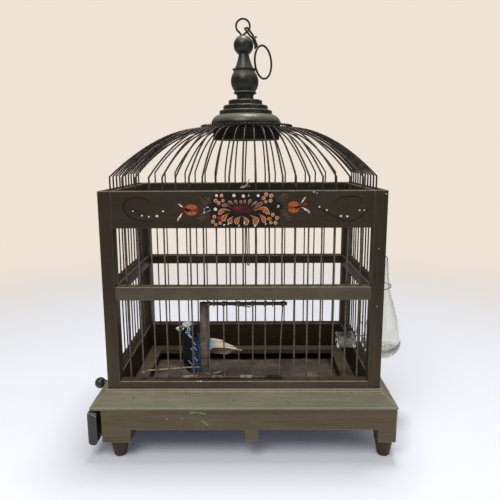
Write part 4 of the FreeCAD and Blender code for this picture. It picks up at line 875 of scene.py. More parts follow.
wired("door_stop_bent", stop_lines, bar_radius, iron_wire, "door", ["door_stop"])
staple_x, staple_radius, staple_seat, staple_lines = 30.6, 2.8, 4, []
for sign in (-1, 1):
    loop = [(sign * staple_x, door_y - staple_radius, front_rail_low + staple_seat)]
    for degrees in range(180, 361, 15):
        angle = math.radians(degrees)
        loop.append((sign * staple_x, door_y + staple_radius * math.cos(angle),
                     door_axis + staple_radius * math.sin(angle)))
    staple_lines.append(loop + [(sign * staple_x, door_y + staple_radius,
                                 front_rail_low + staple_seat)])
wired("door_staples_bent", staple_lines, 0.6, iron_wire, "cage", ["door_staples"])

# Treat hook. A hairpin of thin dark wire that hangs behind the top board from a pin tied to a dome
# wire.
pin_level, pin_y, leg_y = frame_top + 3.6, -front_line + 2.3, -front_line + 6.9
leg_high, leg_low, hold = frame_top + 2.7, frame_top + 3.6 - 82, 1.8
thin_wire = aged_wire("thin blackened wire", "#2a2521", "#453e38", "#3a2a1c")
silver_wire = aged_wire("thin tinned wire gone brown", "#6a5c50", "#a5978a", "#5a4433")


def hook_leg(x, order):
    """One leg's top, bent over the pin; the order turns its points round."""
    points = [(x, pin_y - hold, pin_level), (x, pin_y - hold * 0.7, pin_level + hold * 0.7),
              (x, pin_y, pin_level + hold), (x, pin_y + hold, pin_level + hold / 2),
              (x, leg_y, leg_high)]
    return points[::order]


hook_line = (hook_leg(2.9, 1) + [(3.6, leg_y, leg_low + 42), (4.5, leg_y, leg_low + 1),
                                 (5.4, leg_y, leg_low - 0.2), (6.3, leg_y, leg_low + 1),
                                 (5.9, leg_y, leg_low + 42)] + hook_leg(5.9, -1))
wired("treat_hook_bent", [hook_line], 0.6, thin_wire, "treat_hook", ["treat_hook"])
tie_lines = [circle_points((0, -front_line, pin_level), 1.6, 16) + [True],
             [(-0.6, pin_y, pin_level), (3, pin_y, pin_level), (7.8, pin_y, pin_level)],
             [(-0.6, pin_y, pin_level), (-2.6, pin_y - 2, pin_level - 1),
              (-1.4, -front_line - 1.6, pin_level - 1.3), (1.6, -front_line - 1.7, pin_level - 0.6),
              (3.8, -front_line - 1.4, pin_level + 1.2), (5.4, -front_line - 0.6, pin_level + 4.2),
              (6.6, -front_line + 0.6, pin_level + 7.6)]]
wired("treat_hook_tie_bent", tie_lines, 0.6, silver_wire, "cage", ["treat_hook_tie"])

# Straws. Two thin pale sticks that lie along the back of the low front board.
straw_lines = [[(-68, -82.6, 84.5), (-60, -82.1, 84.6), (-51.5, -81.7, 84.5)],
               [(-67.2, -81.4, 84.6), (-58, -81.0, 85.4), (-49.5, -81.2, 85.2)]]
straw = aged_wire("pale dry straw", "#8d7763", "#b39a83", "#7a6450")
wired("fallen_straws", straw_lines, 0.55, straw, "cage")

# Swing perch. A ribbed stick with a bent wire in each end, unhooked at one end and left standing
# behind the door.
dowel_x, dowel_y, dowel_low, dowel_length, dowel_radius = -42.3, -77.5, 89.8, 76.6, 4.7
rib_pitch, rib_depth = 1.9, 0.3
rib_profile = [(0, 0), (dowel_radius - 0.9, 0), (dowel_radius - 0.3, 0.7)]
for rib in range(int((dowel_length - 2) / rib_pitch)):
    level = 1.0 + rib * rib_pitch
    rib_profile += [(dowel_radius - rib_depth, level), (dowel_radius, level + rib_pitch * 0.35),
                    (dowel_radius, level + rib_pitch * 0.65)]
rib_profile += [(dowel_radius - 0.3, dowel_length - 0.7), (dowel_radius - 0.9, dowel_length),
                (0, dowel_length)]


def ribbed_stick(name, colour, pale):
    """Old turned stick, mottled between a dark and a pale tone."""
    material, tree, place = new_material(name)
    mottle = noise(tree, place, 190, 5)
    skin = ramp(tree, mottle, (0.35, colour), (0.68, pale))
    fine = noise(tree, place, 1400, 3)
    bump = relief(tree, fine, 0.3, 0.15)
    return coated(material, skin, 0.7, bump)


perch_stick = ribbed_stick("dull ribbed stick", "#3c322d", "#6e5f57")
finished("perch_dowel_ribbed", turned_mesh("perch_dowel_ribbed", rib_profile,
                                           (dowel_x, dowel_y, dowel_low), 32), perch_stick, "cage",
         ["perch_dowel"], 50)
hook_x, hold = -107.2, 1.7
low_level, high_level, high_y = dowel_low + 3.8, dowel_low + dowel_length + 0.7, -front_line + 4.8
low_hanger = [(dowel_x - 4.7, dowel_y, low_level), (-62, -79.4, low_level + 0.4),
              (-84, -82.2, low_level - 0.3), (hook_x + 5.1, -front_line + hold, low_level - 0.6),
              (hook_x - 1.2, -front_line + hold, low_level - 1.2),
              (hook_x - hold, -front_line, low_level - 1.2),
              (hook_x - 1.2, -front_line - hold, low_level - 1.2),
              (hook_x + hold, -front_line - hold, low_level - 1.2)]
foot_hook = [(dowel_x, dowel_y, dowel_low + 1), (dowel_x + 0.8, dowel_y - 1.4, dowel_low - 3),
             (dowel_x + 5.6, -79.6, 85.8), (dowel_x + 11, -79, 87), (dowel_x + 17.6, -78, 88.8)]
high_hanger = [(dowel_x, dowel_y, high_level - 0.7), (dowel_x, dowel_y, high_level),
               (dowel_x + 4.7, high_y, high_level), (dowel_x + 25, high_y, high_level - 1.6),
               (dowel_x + 50, high_y, high_level - 4.5)]
wired("perch_hangers_bent", [low_hanger, foot_hook, high_hanger], 0.7, silver_wire, "cage",
      ["perch_hangers"])

# Tray. A thin board floor with a low rim, bare and stained inside, on runners between the aprons;
# its left end is a painted board with a small turned knob, and a creased sheet of paper lines it.


def stained_pine(name, colour, dark):
    """Bare pine, grey-brown with use, its grain along the tray."""
    material, tree, place = new_material(name)
    along = add(tree, "ShaderNodeMapping", {"Vector": place, "Scale": (0.05, 1, 1)}).outputs[0]
    grain = noise(tree, along, 320, 6, 0.6)
    skin = ramp(tree, grain, (0.35, dark), (0.65, colour))
    bump = relief(tree, grain, 0.3, 0.2)
    return coated(material, skin, 0.7, bump)


bare_pine = stained_pine("stained bare pine", "#4a3d30", "#2e251d")
end_wood = painted_softwood("glossy dark paint on the tray's end", "#2c2a28", "#4c4a48", "#9aa6a4",
                            "y", 0.9, gloss=0.5, dullness=(0.18, 0.36))
for name, body in (("tray_floor", "tray"), ("tray_rim", "tray"), ("tray_runners", "cage")):
    finished(name + "_wood", eased_board(name, 0.3 * MM), bare_pine, body, [name], 40)
finished("tray_end_board_wood", eased_board("tray_end_board", 0.8 * MM), end_wood, "tray",
         ["tray_end_board"], 40)
knob_profile = profile([(0, 0), (5.5, 0), (5.5, 1.4), (4.9, 2, 0.7), (3.6, 2.6, -1), (3.4, 8),
                        (3.6, 10.9), (0, 23.9, 7)])
finished("tray_knob_turned", turned_mesh("tray_knob_turned", knob_profile, (-165.6, 0, 39.3), 48,
                                         (-1, 0, 0)), end_wood, "tray", ["tray_knob"],
         40)


def creased_sheet(low, high, level, thick, across, along):
    """A sheet of paper that has been crumpled and laid flat again."""
    vertices, faces = [], []
    crease_half, crease_reach, crease_top = 5, 55, 2.2
    creases = random.Random(3)
    folds = [(creases.uniform(low[0], high[0]), creases.uniform(low[1], high[1]),
              creases.uniform(0, math.pi), creases.uniform(0.3, 1)) for fold in range(26)]
    for layer in (0, 1):
        for i in range(across + 1):
            for j in range(along + 1):
                x = low[0] + (high[0] - low[0]) * i / across
                y = low[1] + (high[1] - low[1]) * j / along
                lift = 0
                for fx, fy, turn, height in folds:
                    away = abs((x - fx) * math.cos(turn) + (y - fy) * math.sin(turn))
                    far = math.hypot(x - fx, y - fy)
                    near = max(0, 1 - away / crease_half)
                    lift += height * near * math.exp(-(far / crease_reach) ** 2)
                base = level + layer * thick
                vertices.append((x * MM, y * MM, (base + min(lift, crease_top) * 0.9) * MM))
    wide = along + 1
    top = (across + 1) * wide
    for i in range(across):
        for j in range(along):
            a = i * wide + j
            faces.append((a, a + wide, a + wide + 1, a + 1))
            faces.append((top + a, top + a + 1, top + a + wide + 1, top + a + wide))
    rim = [i * wide for i in range(across)] + [across * wide + j for j in range(along)]
    rim += [i * wide + along for i in range(across, 0, -1)] + [j for j in range(along, 0, -1)]
    for a, b in zip(rim, rim[1:] + rim[:1]):
        faces.append((a, b, top + b, top + a))
    return shell("liner", vertices, faces)


liner_paper, tree, place = new_material("creased brown-grey paper")
stains = noise(tree, place, 26, 7, 0.7)
fibre = noise(tree, place, 500, 3)
tone = ramp(tree, stains, (0.3, "#37302a"), (0.5, "#554a40"), (0.7, "#7c7064"))
depth = part(tree, place, "Y")
depth = reckon(tree, "ABSOLUTE", depth)
torn = ranged(tree, depth, 63 * MM, 65.5 * MM, 0, 0.7)
tone = blend(tree, torn, tone, "#8f857c")
bump = relief(tree, fibre, 0.4, 0.3)
coated(liner_paper, tone, 0.85, bump)
finished("tray_liner_paper", creased_sheet((-119.5, -66), (112, 66), 41.85, 0.5, 92, 54),
         liner_paper, "tray", ["tray_liner"], 30)

# Drinker. Blown clear glass: a long drop that is filled through a spout, and a small pressed cup
# inside the bars that the spout keeps full, both held by twists of thin wire.


def clear_glass(name, tint, roughness, milkiness, scale_low, scale_high, ripple_size=14):
    """Soda glass with faint ripples from blowing or pressing. Below a level it turns milky white,
    in patches and more so lower down; ripple_size is in millimetres."""
    material, tree, place = new_material(name)
    ripple = noise(tree, place, 1 / (ripple_size * MM), 2)
    patches = noise(tree, place, 260, 3)
    height = part(tree, place, "Z")
    low_share = ranged(tree, height, scale_high * MM, scale_low * MM, 0.05, 1)
    patch_share = ranged(tree, patches, 0.35, 0.65, 0.3, 1)
    milky_share = reckon(tree, "MULTIPLY", low_share, patch_share)
    milky_share = reckon(tree, "MULTIPLY", milky_share, milkiness)
    clear = reckon(tree, "SUBTRACT", 1.0, milky_share)
    colour = blend(tree, milky_share, tint, "#f3f2ec")
    bump = relief(tree, ripple, 0.25, 0.6)
    return coated(material, colour, roughness, bump, others={"IOR": 1.5,
                                                             "Transmission Weight": clear})


blown_glass = clear_glass("blown soda glass", "#fbfbf8", 0.02, 0.97, 83, 92)
pressed_glass = clear_glass("pressed soda glass", "#f2f6f7", 0.08, 0.6, 60, 104, 4)
bulb_x, bulb_y = 167, -6.7
bulb_centre = (bulb_x, bulb_y, 79.3)
bulb_outer = profile([(0, 0), (12.4, 0), (22.5, 17, 19.55), (16.4, 50.4, 123.4), (7.2, 83.4),
                      (3.4, 119.4), (0, 123.4, 4.1)])
bulb_inner = profile([(0, 5), (9.65, 5), (20.9, 18.6, 17), (14.8, 50.4, 123.4), (5.6, 83.4),
                      (1.8, 117.8), (0, 118.6)])
outer_mesh = turned_mesh("bulb_outer", bulb_outer, bulb_centre, 64)
inner_mesh = turned_mesh("bulb_inner", bulb_inner, bulb_centre, 64)
inner_mesh.flip_normals()
finished("drinker_bulb_blown", joined_mesh("drinker_bulb_blown", [outer_mesh, inner_mesh]),
         blown_glass, "cage", ["drinker_bulb"], 40)
spout_profile = profile([(3.3, 0), (4.4, 0), (4.8, 0.5), (4.8, 17), (5.4, 19.5, -4), (3.3, 19.5),
                         (3.3, 0)])
finished("drinker_spout_drawn", turned_mesh("drinker_spout_drawn", spout_profile,
                                            (133.2, bulb_y, 99), 40, (1, 0, 0)), blown_glass,
         "cage", [], 40)


def tube_faces(rings, sides):
    """Faces of a closed tube: bands between rings of equal count, and a cap on the first and the
    last."""
    faces = [tuple(range(sides))[::-1], tuple(range((rings - 1) * sides, rings * sides))]
    for start in range(0, (rings - 1) * sides, sides):
        for side in range(sides):
            after = (side + 1) % sides
            faces.append((start + side, start + after, start + sides + after, start + sides + side))
    return faces


def pressed_cup(low, high, wall, floor, ease=2.2, steps=5):
    """A square cup with rounded corners and a thick floor."""
    def ring(inset, level):
        points = []
        x0, x1, y0, y1 = low[0] + inset, high[0] - inset, low[1] + inset, high[1] - inset
        r = max(ease - inset * 0.6, 0.8)
        for cx, cy, start in ((x1 - r, y1 - r, 0), (x0 + r, y1 - r, 90), (x0 + r, y0 + r, 180),
                              (x1 - r, y0 + r, 270)):
            for step in range(steps + 1):
                angle = math.radians(start + 90 * step / steps)
                points.append(((cx + r * math.cos(angle)) * MM, (cy + r * math.sin(angle)) * MM,
                               level * MM))
        return points
    levels = [(0.9, low[2]), (0.2, low[2] + 0.7), (0, low[2] + 1.6), (0, high[2] - 0.5),
              (0.4, high[2]), (wall - 0.4, high[2]), (wall, high[2] - 0.5),
              (wall, low[2] + floor + 1.2), (wall + 1, low[2] + floor)]
    rings = [ring(inset, level) for inset, level in levels]
    vertices = [point for one in rings for point in one]
    return shell("drinker_cup_pressed", vertices, tube_faces(len(rings), len(rings[0])))


finished("drinker_cup_pressed", pressed_cup((111.4, -16, 91.2), (134.4, 2.6, 105.4), 1.8, 4),
         pressed_glass, "cage", ["drinker_cup"], 40)
tie_radius, near_bar, far_bar, tie_level, tie_rise, hold = 8.4, -bar_pitch, 0, 163, 7.2, 1.65
cup_tie_level = 122.3
hoop_line = [(side_line - hold, near_bar + 0.8, tie_level),
             (side_line - hold, near_bar - hold, tie_level),
             (side_line + hold, near_bar - hold, tie_level)]
for degrees in range(-110, 111, 20):
    angle = math.radians(degrees)
    climb = tie_rise / 2 + tie_rise / 2 * degrees / 110
    hoop_line.append((bulb_x + tie_radius * math.cos(angle), bulb_y + tie_radius * math.sin(angle),
                      tie_level + climb))
hoop_line += [(side_line + hold, far_bar + hold, tie_level + tie_rise),
              (side_line - hold, far_bar + hold, tie_level + tie_rise),
              (side_line - hold, far_bar - 0.8, tie_level + tie_rise)]
cup_tie = [(131.9, bulb_y, 103.2), (131.9, bulb_y, 106.6), (136, bulb_y, 107.3),
           (side_line - hold, near_bar + hold, cup_tie_level),
           (side_line + hold, near_bar + hold, cup_tie_level),
           (side_line + hold, near_bar - hold, cup_tie_level)]
tie_lines = [hoop_line] + [cup_tie[:3]] + twisted_pair(cup_tie[2:4], 0.45, 3.4) + [cup_tie[3:]]
wired("drinker_ties_bent", tie_lines, 0.5, thin_wire, "cage", ["drinker_ties"])

# Painted flowers. Brushed by hand in oils on the front top board: a large open flower between two
# buds, with berries, leaves and dots of thick white, on a patch of darker ground.
board_face = -frame_depth / 2
stroke_lift = 0.05


def brushed_paint(name, colour, shade, roughness=0.45):
    """Thick oil colour, streaked by the brush and a little darker where it lies thin."""
    material, tree, place = new_material(name)
    streak = noise(tree, place, 420, 4, 0.6)
    tone = ramp(tree, streak, (0.36, shade), (0.6, colour))
    bump = relief(tree, streak, 0.3, 0.1)
    return coated(material, tone, roughness, bump, gloss=0.12)


oil_colours = {
    "black": brushed_paint("bone black oil colour", "#1d1914", "#241e18"),
    "scroll": brushed_paint("thin black scroll", "#1a1712", "#231f19"),
    "salmon": brushed_paint("brown-orange oil colour", "#a5623c", "#7f4528"),
    "rust": brushed_paint("thin rust oil colour", "#6f4531", "#4a2c20"),
    "wine": brushed_paint("wine lake", "#6e2428", "#4e181c"),
    "orange": brushed_paint("orange oil colour", "#b87a40", "#8d5528"),
    "bud": brushed_paint("burnt orange oil colour", "#a85f3c", "#7d3f29"),
    "cream": brushed_paint("cream oil colour", "#cfa792", "#b58a74"),
    "crimson": brushed_paint("crimson lake", "#502023", "#34161a"),
    "brick": brushed_paint("brick red oil colour", "#8c3a24", "#6a2819"),
    "white": brushed_paint("flake white", "#eee6dc", "#c9bfb3"),
    "blue": brushed_paint("pale blue oil colour", "#8ea3a8", "#55686d"),
    "leaf": brushed_paint("pink-brown leaf strokes", "#6f5043", "#4a342b"),
    "green": brushed_paint("dull green leaf colour", "#3f4430", "#2f3526"),
    "berry": brushed_paint("berry pink", "#c49880", "#a07058")}
strokes = {name: ([], []) for name in oil_colours}


def fill(colour, outline, layer):
    """A flat patch of paint inside an outline of (x, z) points in millimetres, a little proud of
    the board."""
    vertices, faces = strokes[colour]
    first = len(vertices)
    level = board_face - stroke_lift * (layer + 1)
    middle = Vector((sum(x for x, z in outline), sum(z for x, z in outline))) / len(outline)
    vertices.append((middle.x * MM, level * MM, middle.y * MM))
    vertices += [(x * MM, level * MM, z * MM) for x, z in outline]
    vertices += [(x * MM, (board_face + 0.02) * MM, z * MM) for x, z in outline]
    count = len(outline)
    for side in range(count):
        after = (side + 1) % count
        faces.append((first, first + 1 + side, first + 1 + after))
        faces.append((first + 1 + side, first + 1 + count + side, first + 1 + count + after,
                      first + 1 + after))
    faces.append([first + 1 + count + side for side in range(count)][::-1])


def oval(x, z, half_wide, half_high, turn=0, corners=20):
    """The outline of a dab of paint, turned by so many degrees."""
    c, s = math.cos(math.radians(turn)), math.sin(math.radians(turn))
    rim = [(half_wide * math.cos(2 * math.pi * step / corners),
            half_high * math.sin(2 * math.pi * step / corners)) for step in range(corners)]
    return [(x + a * c - b * s, z + a * s + b * c) for a, b in rim]


def petal(root, tip, width, bend=0.0, fullest=0.72, steps=12):
    """A brush stroke that starts thin at its root, is widest past its middle and ends blunt; bend
    bows it."""
    root, tip = Vector(root), Vector(tip)
    run = tip - root
    side = Vector((-run.y, run.x)).normalized()
    power = math.log(0.5) / math.log(fullest)
    left, right = [], []
    for step in range(steps + 1):
        share = math.sin(math.pi / 2 * step / steps)
        middle = root + run * share + side * (bend * math.sin(math.pi * share))
        swell = width / 2 * max(math.sin(math.pi * share ** power),
                                0) ** 0.75 if 0 < step < steps else 0.05
        left.append(tuple(middle + side * swell))
        right.append(tuple(middle - side * swell))
    return left + right[::-1][1:-1]


def edged_petal(root, tip, width, bend=0.0, inner="salmon", layer=2, rim=0.5):
    """A petal of one colour inside a pale brushed edge."""
    fill("cream", petal(root, tip, width, bend), layer)
    start, end = Vector(root), Vector(tip)
    pull = (end - start).normalized() * rim
    fill(inner, petal(start + pull, end - pull, max(width - 2 * rim, 0.6), bend), layer + 1)


ground = [(-37.4, 266), (-36, 271), (-31, 274), (-30, 279), (-25, 283), (-17, 283.7), (-8, 283.2),
          (0, 283.5), (8, 283.7), (16, 283.3), (23, 283.8), (30, 282.8), (32, 278), (34, 274.5),
          (39, 272.6), (40.5, 269), (37.5, 265.5), (36.4, 261), (38, 256.5), (34.5, 251.6),
          (28, 249.6), (19, 249.2), (9, 248.7), (-1, 248.7), (-11, 248.9), (-20, 249.2),
          (-28, 249.6), (-32.6, 253.5), (-31.6, 258), (-33.5, 262)]
fill("black", ground, 0)
upper_petals = (((-11.0, 268.3), (-20.7, 270.8), 3.0, -1.2),
                ((-8.4, 270.5), (-14.3, 274.8), 2.6, -0.6),
                ((-5.0, 271.1), (-7.9, 276.1), 2.7, -0.3),
                ((-1.1, 271.4), (-2.0, 276.0), 2.3, 0.1),
                ((2.0, 271.1), (2.5, 276.4), 2.2, 0.1),
                ((5.2, 270.4), (8.4, 276.8), 2.6, 0.3),
                ((8.1, 269.0), (14.4, 274.8), 2.0, 0.3),
                ((9.6, 265.7), (20.4, 273.9), 3.3, 0.5))
for root, tip, width, bend in upper_petals:
    edged_petal(root, tip, width, bend, "rust", 2, 0.42)
side_petals = (((-11.3, 265.3), (-24.6, 261.8), 4.2, -2.6),
                ((11.1, 265.2), (27.2, 262.2), 5.4, 3.6))
lower_petals = (((-13.8, 262.9), (-20.6, 255.1), 4.6, -0.7),
                ((-9.4, 260.2), (-13.3, 252.2), 5.0, -1.0),
                ((-1.5, 260.3), (-7.0, 252.0), 4.8, -1.0),
                ((-0.4, 260.2), (3.9, 250.7), 5.2, 1.6),
                ((6.9, 261.3), (13.6, 250.4), 6.2, 2.6),
                ((15.7, 262.5), (22.5, 253.3), 4.4, 1.2))
for root, tip, width, bend in side_petals + lower_petals:
    edged_petal(root, tip, width * 1.12, bend, "salmon", 2, 0.62)
fill("brick", oval(-22.9, 257.8, 2.3, 2.1), 4)
fill("orange", oval(26.8, 257.3, 2.3, 1.9), 5)
fill("crimson", oval(-0.9, 266.9, 9.9, 3.9, -4, 32), 6)
fill("wine", oval(-5.2, 268.2, 4.2, 1.7, 8), 7)
berries = ((-26.9, 275.6, 1.9), (-19.5, 275.6, 1.6), (-23.7, 273.1, 1.9), (-28.3, 259.5, 1.9),
           (-29.8, 254.6, 2.0), (-26.9, 251.5, 1.6), (-22.6, 253.2, 1.7), (23.5, 281.6, 2.0),
           (28.6, 280.3, 2.1), (20.9, 277.9, 2.0), (27.9, 275.4, 1.9), (23.2, 274.2, 1.5),
           (30.1, 261.4, 1.9), (34.5, 258.1, 2.0), (28.2, 253.3, 1.7), (32.9, 253.3, 1.9))
for x, z, radius in berries:
    fill("berry", oval(x, z, radius, radius, 0, 14), 4)
    fill("brick", oval(x + 0.2, z - 0.2, radius * 0.4, radius * 0.4, 0, 10), 5)
fill("orange", oval(-20.8, 280.5, 1.9, 1.9), 4)
fill("white", oval(-20.8, 281.4, 0.9, 0.6), 5)
for x, z, radius in ((-25.9, 280.5, 1.4), (-8.5, 280.5, 1.6), (0.8, 280.0, 1.6), (15.6, 280.4, 1.4),
                     (-27.1, 267, 1.6)):
    fill("white", oval(x, z, radius, radius, 0, 14), 4)
    fill("berry", oval(x - 0.3, z - 0.3, radius * 0.4, radius * 0.4, 0, 8), 5)
fill("white", petal((6.3, 282.2), (5.6, 279.6), 0.8, 0.5), 4)
for middle_x, middle_z, high, blunt, point in ((-51.6, 266.4, 6.0, -44.4, -60.2),
                                               (51.4, 269, 6.0, 45, 58.4)):
    facing = math.copysign(1, middle_x)
    fill("brick", oval(middle_x, middle_z, abs(middle_x - blunt), high, 0, 28), 2)
    fill("bud", oval(middle_x - 0.6 * facing, middle_z + 2.6, 5.4, 2.6, 0, 20), 3)
    fill("bud", oval(middle_x - 0.4 * facing, middle_z - 3.4, 5.4, 2.0, 0, 20), 3)
    fill("brick", petal((point, middle_z + 0.4), (middle_x, middle_z + 0.4), 4.4), 2)
    fill("crimson", petal((blunt, middle_z), (middle_x + 4 * facing, middle_z), 1.2), 4)
for root, tip, width, bend in (((-58.9, 268.6), (-64.1, 272.9), 1.8, 0.2),
                               ((-59, 264.2), (-65.4, 254.7), 1.9, -0.9),
                               ((57.9, 272.1), (62.9, 279.3), 1.6, 0.0),
                               ((57.9, 269), (67.6, 262.6), 1.9, 1.0)):
    fill("cream", petal(root, tip, width, bend), 4)
    fill("white", petal(root, Vector(root).lerp(Vector(tip), 0.6), width * 0.7, bend * 0.6), 5)
fill("brick", petal((57.6, 270.4), (65, 272.6), 1.8), 3)
fill("black", oval(-35.6, 266.6, 3.6, 2.9, 20), 2)
fill("black", oval(35.4, 269.6, 2.3, 1.9), 2)
for x, z, wide, high, turn in ((-36.2, 269, 1.9, 0.4, 40), (-38.2, 266.8, 0.4, 1.6, 10),
                               (-34.4, 264.9, 2.4, 0.4, 14), (-32.6, 266.6, 0.4, 1.2, -20),
                               (35.4, 268.6, 1.5, 0.4, 0)):
    fill("blue", oval(x, z, wide, high, turn), 3)
for x, z, wide, high in ((-34.6, 268.9, 0.8, 0.5), (-38.4, 263.9, 0.9, 0.7),
                         (35.7, 270.2, 1.3, 0.7)):
    fill("white", oval(x, z, wide, high), 4)
for root, tip, width in (((-30, 270.6), (-43.5, 279.2), 1.0), ((-29.4, 272), (-37.6, 279.4), 0.9),
                         ((-30.6, 269.8), (-42.6, 276), 0.8), ((-31, 271), (-34.4, 279.6), 0.8),
                         ((-32, 269.4), (-40, 272.6), 0.7), ((-31, 261.2), (-47, 257.6), 1.0),
                         ((-31, 262.2), (-44, 262), 0.8), ((-32, 260.4), (-43.6, 255.2), 0.8),
                         ((34, 277), (42.4, 283), 0.9), ((34.6, 276.4), (45.4, 282.2), 1.0),
                         ((36, 275.4), (46.6, 279.4), 0.9), ((36.4, 274.2), (43.4, 276), 0.8),
                         ((37.4, 263.6), (43, 266), 1.0), ((37, 262.8), (47.6, 262.6), 1.2),
                         ((37.6, 262), (46.4, 259.6), 1.1), ((39, 261.2), (50.6, 257.8), 0.9),
                         ((41, 259), (48, 255.4), 0.8)):
    fill("leaf", petal(root, tip, width), 1)
fill("green", petal((37.6, 263), (46, 261.2), 1.6), 2)
for x, z, turn in ((-14.4, 252.4, 70), (-18.6, 251.2, 20), (-3.8, 250.4, 80), (1.6, 253.2, 80),
                   (12.3, 250.2, 60), (23.1, 252.2, 80)):
    fill("white", oval(x, z, 1.2, 0.5, turn), 5)
white_dots = ((-109.7, 265.5, 0.8), (-100.8, 260.9, 0.9), (-94.1, 259.7, 0.8), (-85.8, 260.4, 1.3),
              (-79.6, 265.1, 1.0), (76.5, 269.1, 0.9), (83.9, 265.8, 0.9), (98.1, 259.8, 1.1),
              (104.6, 259.4, 1.1), (116.7, 265.5, 0.9), (121.4, 265.5, 0.7))
for x, z, radius in white_dots:
    fill("white", oval(x, z, radius, radius * 0.85, 0, 12), 3)


def scroll(points, width, colour="scroll", layer=1):
    """A thin brushed line along points, tapering at both ends."""
    left, right = [], []
    for index, point in enumerate(points):
        before, after = Vector(points[max(index - 1,
                                          0)]), Vector(points[min(index + 1, len(points) - 1)])
        side = Vector((-(after - before).y, (after - before).x)).normalized()
        half = width / 2 * max(math.sin(math.pi * index / (len(points) - 1)), 0.12) ** 0.5
        left.append(Vector(point) + side * half)
        right.append(Vector(point) - side * half)
    for index in range(len(points) - 1):
        quad = [left[index], left[index + 1], right[index + 1], right[index]]
        fill(colour, [tuple(corner) for corner in quad], layer)


def flowing(points, steps=5):
    """A smooth line through a few points."""
    line = [Vector(point) for point in points]
    line = [line[0] * 2 - line[1]] + line + [line[-1] * 2 - line[-2]]
    made = []
    for a, b, c, d in zip(line, line[1:], line[2:], line[3:]):
        for step in range(steps):
            t = step / steps
            made.append(0.5 * (2 * b + (c - a) * t + (2 * a - 5 * b + 4 * c - d) * t ** 2
                               + (3 * b - a - 3 * c + d) * t ** 3))
    return made + [line[-2]]


scroll(flowing([(-91.8, 272.6), (-97, 277.4), (-106, 279), (-114.5, 276.6), (-118.8, 271.6),
                (-116.7, 262.5), (-106, 256.5), (-94, 255.6), (-82.9, 256.4)]), 1.7)
scroll(flowing([(-115.4, 269.6), (-108, 266.4), (-101, 264), (-94.7, 262.5)]), 1.0)
scroll(flowing([(91.4, 272.8), (95.5, 277), (101.7, 278.6), (108, 279.4), (114.6, 278.7),
                (118.6, 275.6), (118.3, 271.7)]), 1.6)
scroll(flowing([(70.1, 272.9), (77, 267.5), (85.2, 262.8), (99.4, 255.8), (109.4, 254.7),
                (121.2, 261.7), (124.9, 268.7)]), 1.5)

for colour, (vertices, faces) in strokes.items():
    if faces:
        mesh = shell("painted_" + colour, vertices, faces)
        finished(mesh.name, mesh, oil_colours[colour], "cage", [])

# Bird. A small toy bird of feathers over a carved core, wired to the perch by its feet: pale cap,
# white beak, dark blue breast with streaks, and pale blue and cream wings over a brown tail.
bird_y = -57


def dyed_feathers(name, root, tip, edge, stripe_scale=900):
    """Dyed feathers: each one its own shade, from root colour to tip colour, with fine barbs
    across it."""
    material, tree, place = new_material(name)
    shade = add(tree, "ShaderNodeAttribute", attribute_name="shade").outputs["Fac"]
    reach = add(tree, "ShaderNodeAttribute", attribute_name="reach").outputs["Fac"]
    barbs = noise(tree, place, stripe_scale, 3)
    tone = blend(tree, shade, root, tip)
    frayed = ranged(tree, reach, 0.55, 1.0, 0, 0.6)
    tone = blend(tree, frayed, tone, edge)
    light = ranged(tree, barbs, 0.35, 0.65, 0.75, 1.25)
    tone = add(tree, "ShaderNodeVectorMath", {0: tone, "Scale": light},
               operation="SCALE").outputs[0]
    bump = relief(tree, barbs, 0.5, 0.3)
    return coated(material, tone, 0.62, bump, gloss=0.12, others={"Sheen Weight": 0.04})


def blade_object():
    """One feather, a unit long and a unit wide: a closed leaf with a raised quill, its reach
    stored along it."""
    stations = ((0, 0.16), (0.2, 0.42), (0.5, 0.5), (0.75, 0.42), (0.92, 0.22))
    vertices, reaches = [], []
    for along, half in stations:
        sag = -0.5 * along ** 2
        vertices += [(along, -half, sag), (along, 0, sag + 0.7), (along, half, sag),
                     (along, 0, sag - 0.2)]
        reaches += [along] * 4
    vertices.append((1, 0, -0.5))
    reaches.append(1.0)
    faces = [(0, 1, 2, 3)]
    for index in range(len(stations) - 1):
        first = index * 4
        faces += [(first + a, first + 4 + a, first + 4 + (a + 1) % 4, first + (a + 1) % 4)
                  for a in range(4)]
    last = (len(stations) - 1) * 4
    faces += [(last + a, len(vertices) - 1, last + (a + 1) % 4) for a in range(4)]
    mesh = shell("blade", vertices, faces)
    mesh.attributes.new("reach", "FLOAT", "POINT").data.foreach_set("value", reaches)
    made = bpy.data.objects.new("blade", mesh)
    scene.collection.objects.link(made)
    return made


def plumage_tree():
    """Geometry Nodes that stand a feather at each point, turned and sized by the point's own
    attributes."""
    tree, given = mesh_tree("plumage", Blade="Object")
    blade = add(tree, "GeometryNodeObjectInfo", {"Object": given["Blade"]})
    turn = add(tree, "GeometryNodeInputNamedAttribute", {"Name": "turn"},
               data_type="FLOAT_VECTOR").outputs[0]
    size = add(tree, "GeometryNodeInputNamedAttribute", {"Name": "size"},
               data_type="FLOAT_VECTOR").outputs[0]
    stood = add(tree, "GeometryNodeInstanceOnPoints", {"Points": given["Geometry"],
                                                       "Instance": blade.outputs["Geometry"],
                                                       "Rotation": turn, "Scale": size})
    plain = add(tree, "GeometryNodeRealizeInstances", {"Geometry": stood.outputs[0]})
    add(tree, "NodeGroupOutput", {"Geometry": plain.outputs[0]})
    return tree


plumage, blade = plumage_tree(), blade_object()


